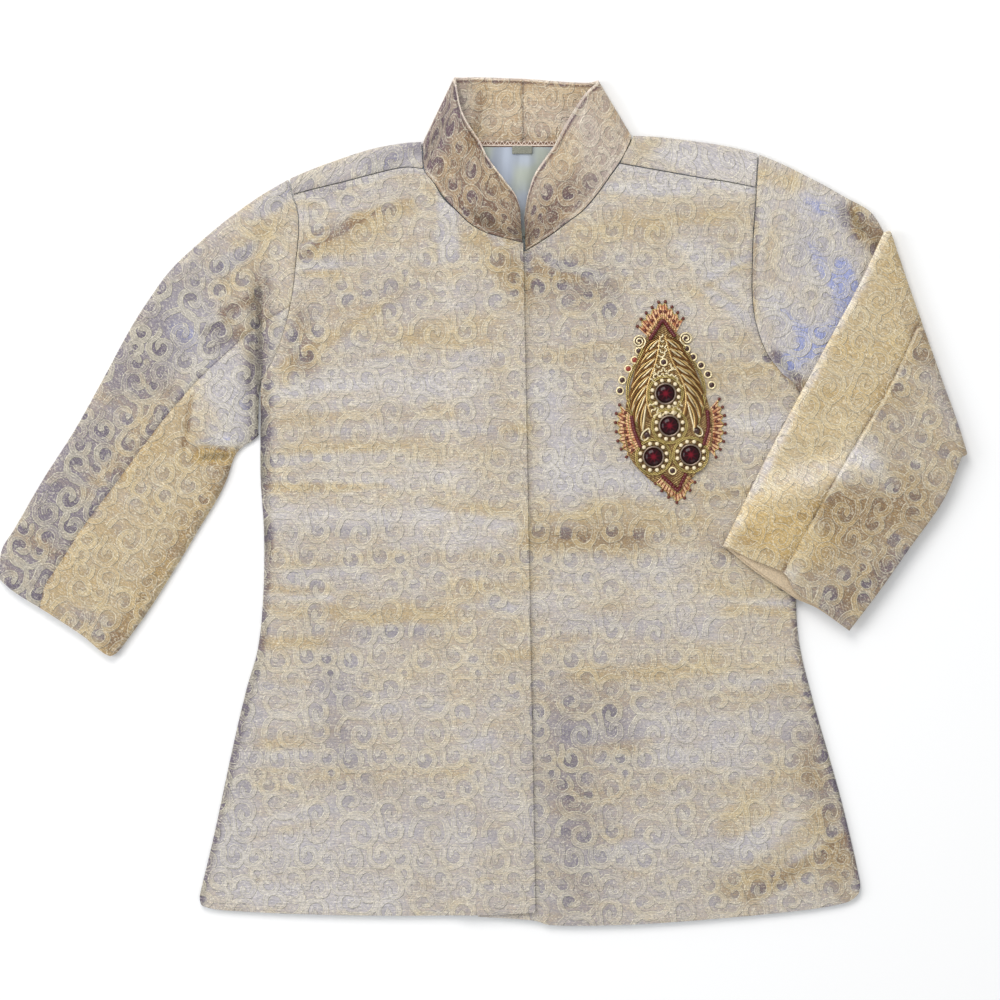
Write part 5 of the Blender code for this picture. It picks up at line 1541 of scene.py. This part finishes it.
STONES = [(109.2, 63.6), (111.6, 44.4), (102, 25.8), (124.2, 27)]
STONE_R = 5.2
STONE_HEIGHT = 3.0
STONE_SHOULDER = 0.9
BEZEL_R = 6.6
BEZEL_WIRE_R = 0.6
BEZEL_HEIGHT = 1.6
PEARL_R = 1.25
PEARL_RING_R = 8.1
ROUNDS = (9.8, 10.7)    # the radii of the rounds of thread
SEQUIN_R = 2.0
SEQUIN_WIRE_R = 0.5
CORE_R = 1.6
HEART_R = 3.4
SEQUINS = [
    # across, down
    (-14.6, 19.2), (-17.5, 24.4), (-21.6, 29.4), (-25.6, 36), (-27.4, 42.2), (13.9, 19.6), (17.5, 24.8),
    (22, 30), (25.8, 35.6), (27.6, 42.2), (-0.3, 26.8), (1, 92),
]
RED_CORES = [1, 2]      # of the sequins


def glossy(name, colour, roughness=0.08, metallic=0.0, coat=0.6):
    return new_material(name, Base_Color=linear(colour), Roughness=roughness, Metallic=metallic,
                        Coat_Weight=coat, Coat_Roughness=0.05)[0]


# The garnet runs from a dark red to a brighter one where its painted glint is: a painted highlight.
garnet_glass, tree, shader = new_material(
    "garnet_glass", Roughness=0.08, Specular_IOR_Level=0.2, Coat_Weight=0.08, Coat_Roughness=0.05)
two_tone(tree, shader, ramp(tree, attribute(tree, "star_glint"), 0.0, 1.0), (38, 2, 8), (114, 14, 32))
gunmetal = glossy("gunmetal", (150, 132, 118), 0.3, 0.9, 0.0)
pearl = glossy("pearl", (238, 222, 186), 0.25, 0.0, 0.4)
maroon_glass = glossy("maroon_glass", (92, 14, 20), 0.2, coat=0.1)
brown_glass = glossy("brown_glass", (96, 36, 22), 0.25, coat=0.1)
ring_gold = glossy("ring_gold", (250, 232, 186), 0.3, 0.5, 0.2)
dark_core = glossy("dark_core", (58, 28, 20), 0.25, coat=0.2)
red_core = glossy("red_core", (140, 50, 30), 0.3, coat=0.1)


def apply_place(piece):
    """Moves a piece's place, turn and scale into its mesh."""
    select_only(piece)
    bpy.ops.object.transform_apply(location=True, rotation=True, scale=True)


def join(pieces, name):
    """One piece of many."""
    bpy.ops.object.select_all(action="DESELECT")
    for piece in pieces:
        piece.select_set(True)
    bpy.context.view_layer.objects.active = pieces[0]
    if len(pieces) > 1:
        bpy.ops.object.join()
    joined = bpy.context.object
    joined.name = joined.data.name = name
    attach(joined, "root")
    return joined


def copy_to(piece, place):
    """A copy with its own mesh, at (x, y, z) in mm."""
    copy = piece.copy()
    copy.data = piece.data.copy()
    copy.location = tuple(value * MM for value in place)
    bpy.context.scene.collection.objects.link(copy)
    return copy


def spread(piece, places, name, material):
    """The piece copied to all places and joined."""
    piece.data.materials.append(material)
    select_only(piece)
    bpy.ops.object.shade_smooth()
    copies = [copy_to(piece, place) for place in places]
    bpy.data.objects.remove(piece, do_unlink=True)
    joined = join(copies, name)
    apply_place(joined)
    return joined


def squashed(piece, squash):
    """The piece with its height times this."""
    select_only(piece)
    piece.scale.z = squash
    bpy.ops.object.transform_apply(scale=True)
    return piece


def bead(radius, segments=12, rings=7, squash=1.0):
    bpy.ops.mesh.primitive_uv_sphere_add(segments=segments, ring_count=rings, radius=radius * MM)
    return squashed(bpy.context.object, squash)


def ring(major, minor, major_segments, minor_segments, squash=1.0):
    bpy.ops.mesh.primitive_torus_add(major_segments=major_segments, minor_segments=minor_segments,
                                     major_radius=major * MM, minor_radius=minor * MM)
    return squashed(bpy.context.object, squash)


def circle(centre, radius, z):
    turn = np.linspace(0.0, 2.0 * math.pi, 60)
    return np.column_stack([centre[0] + radius * np.cos(turn), centre[1] + radius * np.sin(turn),
                            np.full(60, z)])


seats = []
for stone_x, stone_y in STONES:
    x, y = np.meshgrid(stone_x + BEZEL_R * np.arange(-1, 2), stone_y + BEZEL_R * np.arange(-1, 2))
    seats.append(float(front_height(x, y).max()) + WALL / 2 + GAP + BUTA_WALL + GAP)

dome = (STONE_HEIGHT - STONE_SHOULDER) / STONE_R
for count, ((stone_x, stone_y), seat) in enumerate(zip(STONES, seats), start=1):
    stone = bead(STONE_R, 64, 28)
    bpy.ops.object.mode_set(mode="EDIT")
    bpy.ops.mesh.select_all(action="SELECT")
    bpy.ops.mesh.bisect(plane_co=(0, 0, 0), plane_no=(0, 0, 1), use_fill=True, clear_inner=True)
    bpy.ops.mesh.extrude_region_move(
        TRANSFORM_OT_translate={"value": (0, 0, -STONE_SHOULDER / dome * MM)})
    bpy.ops.object.mode_set(mode="OBJECT")
    squashed(stone, dome)
    bpy.ops.object.mode_set(mode="EDIT")
    bpy.ops.mesh.select_all(action="SELECT")
    bpy.ops.mesh.normals_make_consistent(inside=False)
    bpy.ops.object.mode_set(mode="OBJECT")
    corners = np.array([corner.co for corner in stone.data.vertices]) / (STONE_R * MM)
    out, turn = np.hypot(corners[:, 0], corners[:, 1]), np.arctan2(corners[:, 1], corners[:, 0])
    # A painted glint: brightest at the middle of the stone, with eight star rays.
    star_glint = (np.exp(-((out / 0.30) ** 2))
           + 0.35 * np.maximum(np.sin(8.0 * turn), 0.0) * np.sin(math.pi * np.clip(out, 0, 1)))
    stone.data.attributes.new("star_glint", "FLOAT", "POINT").data.foreach_set("value", star_glint)
    made = spread(stone, [(stone_x, stone_y, seat + STONE_SHOULDER)], f"garnet_{count}", garnet_glass)
    select_only(made)
    bpy.ops.object.shade_smooth_by_angle(angle=math.radians(40))
    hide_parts(f"stone_{count}")

    rim = ring(BEZEL_R - BEZEL_WIRE_R, BEZEL_WIRE_R, 48, 12, BEZEL_HEIGHT / (2 * BEZEL_WIRE_R))
    made = spread(rim, [(stone_x, stone_y, seat + BEZEL_HEIGHT / 2)], f"rim_{count}", gunmetal)
    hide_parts(f"bezel_{count}")

pearls, rounds = [], []
for (stone_x, stone_y), seat in zip(STONES, seats):
    for turn in np.radians(np.arange(12) * 30 + 15):
        pearls.append((stone_x + PEARL_RING_R * math.cos(turn), stone_y + PEARL_RING_R * math.sin(turn),
                       seat + 0.7))
    rounds += [circle((stone_x, stone_y), radius, seat - 0.1) for radius in ROUNDS]
spread(bead(PEARL_R), pearls, "pearl_rings", pearl)
add_thread("stone_rounds", rounds, 0.4, green_gold)

sequin_places = on_buta(SEQUINS, 0.75)
spread(ring(SEQUIN_R, SEQUIN_WIRE_R, 24, 8), sequin_places, "cup_sequins", ring_gold)
dark_places = np.delete(sequin_places, RED_CORES, axis=0)
spread(bead(CORE_R, 16, 8, 0.5), dark_places, "sequin_cores", dark_core)
spread(bead(CORE_R, 16, 8, 0.5), sequin_places[RED_CORES], "red_cores", red_core)
volute_hearts = on_buta([(-VOLUTE[0], VOLUTE[1]), VOLUTE], 0.2)
spread(bead(HEART_R, 20, 8, 0.12), volute_hearts, "volute_hearts", dark_core)


# -------------------------------------------------------- the almond: beaded bars and peach fringe
# At the tip, the foot and both sides a bar of maroon beads is edged with peach satin stitches. The
# stitches fan out to scallops, with a small dark bead at the end of each and a row along their middle.

BAR_BEAD_R = 1.25
EDGE_BEAD_R = 1.05
TEAR_R = 1.9
STITCH_R = 0.28
FRINGES = [
    # inner line (the bar), outer line (the scallops), stitches, bar beads, inner beads, outer beads
    ([(-7.4, 12), (-3.4, 7), (0.7, 2), (3.8, 6.4), (7, 11.2)],
     [(-14.6, 4.4), (-11.8, -0.4), (-7.4, -4.6), (-2.8, -8), (1.2, -10.4), (5.2, -7.4), (9, -3.6),
      (13, 1.4)],
     52, 19, 9, 9),
    ([(-21.4, 58.6), (-20.4, 67), (-17.4, 76)],
     [(-28.2, 50.6), (-30.8, 57), (-31.2, 66), (-29.8, 75), (-26, 82)],
     42, 13, 7, 7),
    ([(24, 58), (24, 67), (20.8, 77)],
     [(31.6, 50.8), (33.8, 58), (34.2, 67), (32.8, 76), (27.6, 85.4)],
     46, 14, 7, 8),
    ([(-5, 95), (-0.8, 99.4), (3.4, 103.6), (6, 99.4), (8.5, 95)],
     [(-9.6, 99), (-5.4, 104.4), (-1.4, 108.4), (3.2, 111.2), (7.6, 108.4), (11, 104), (14, 99.6)],
     40, 14, 0, 7),
]

peach, tree, shader = new_material("peach_floss", Roughness=0.42, Sheen_Weight=0.3)
patchy = noise(tree, object_place(tree), (500.0, 500.0, 500.0), roughness=0.6)
two_tone(tree, shader, ramp(tree, patchy, 0.35, 0.6), (196, 124, 76), (252, 212, 162))

stitches, rust_stitches, bar_beads, edge_beads, contours = [], [], [], [], []
t = np.linspace(0.0, 1.0, 6)[:, None]
arch = 0.25 + 0.35 * np.sin(math.pi * t[:, 0])
for inner_points, outer_points, stitch_count, bar_count, inner_count, outer_count in FRINGES:
    inner, outer = line(inner_points), line(outer_points)
    u = np.linspace(0.0, 1.0, stitch_count)
    near, far = inner(u), outer(u)
    wave = 0.5 - 0.5 * np.cos(2.0 * math.pi * (outer_count - 1) * u)
    reach = (0.92 - 0.16 * wave)[:, None]
    contours.append(on_buta(mix(near, far, reach - 0.02), 0.2))
    contours.append(on_buta(mix(near, far, 0.28), 0.55))
    for count, (start, end) in enumerate(zip(near, mix(near, far, reach))):
        (rust_stitches if count % 3 == 1 else stitches).append(on_buta(mix(start, end, t), arch))
    bar_beads.append(on_buta(inner(np.linspace(0.0, 1.0, bar_count)), 0.9))
    edge_beads.append(on_buta(outer(np.linspace(0.0, 1.0, outer_count)), 0.75))
    if inner_count:
        v = np.linspace(0.04, 0.96, inner_count)
        edge_beads.append(on_buta(mix(inner(v), outer(v), 0.5), 1.1))
add_thread("peach_stitches", stitches, STITCH_R, peach)
rust = plain_cloth("rust_floss", (150, 74, 44), 0.5, 0.2)
add_thread("rust_stitches", rust_stitches, 0.26, rust)
add_thread("fringe_edges", contours, 0.4, green_gold)
spread(bead(BAR_BEAD_R), np.concatenate(bar_beads), "maroon_bars", maroon_glass)
spread(bead(EDGE_BEAD_R, 10, 6), np.concatenate(edge_beads), "edge_beads", brown_glass)

# The two teardrops between the stones and the side bars.
tears, tear_cores = [], []
t = np.linspace(0.0, 2.0 * math.pi, 25)
drop = np.column_stack([2.5 * np.sin(t) * np.sin(t / 2.0) ** 0.6, 3.9 * np.cos(t) - 0.6])
for across_by, down_by, lean in ((-13.2, 68.7, -1.0), (17.2, 68.2, 1.0)):
    turned = rotated(drop, math.radians(32.0 * lean))
    tears.append(on_buta((across_by, down_by) + turned * (1.0, -1.0), 0.6))
    tear_cores.append(on_buta(np.array([(across_by - 0.3 * lean, down_by + 0.9)]), 0.55))
add_thread("teardrop_wires", tears, 0.55, pale_gold)
spread(bead(TEAR_R, 16, 10, 0.6), np.concatenate(tear_cores), "teardrop_stones", dark_core)
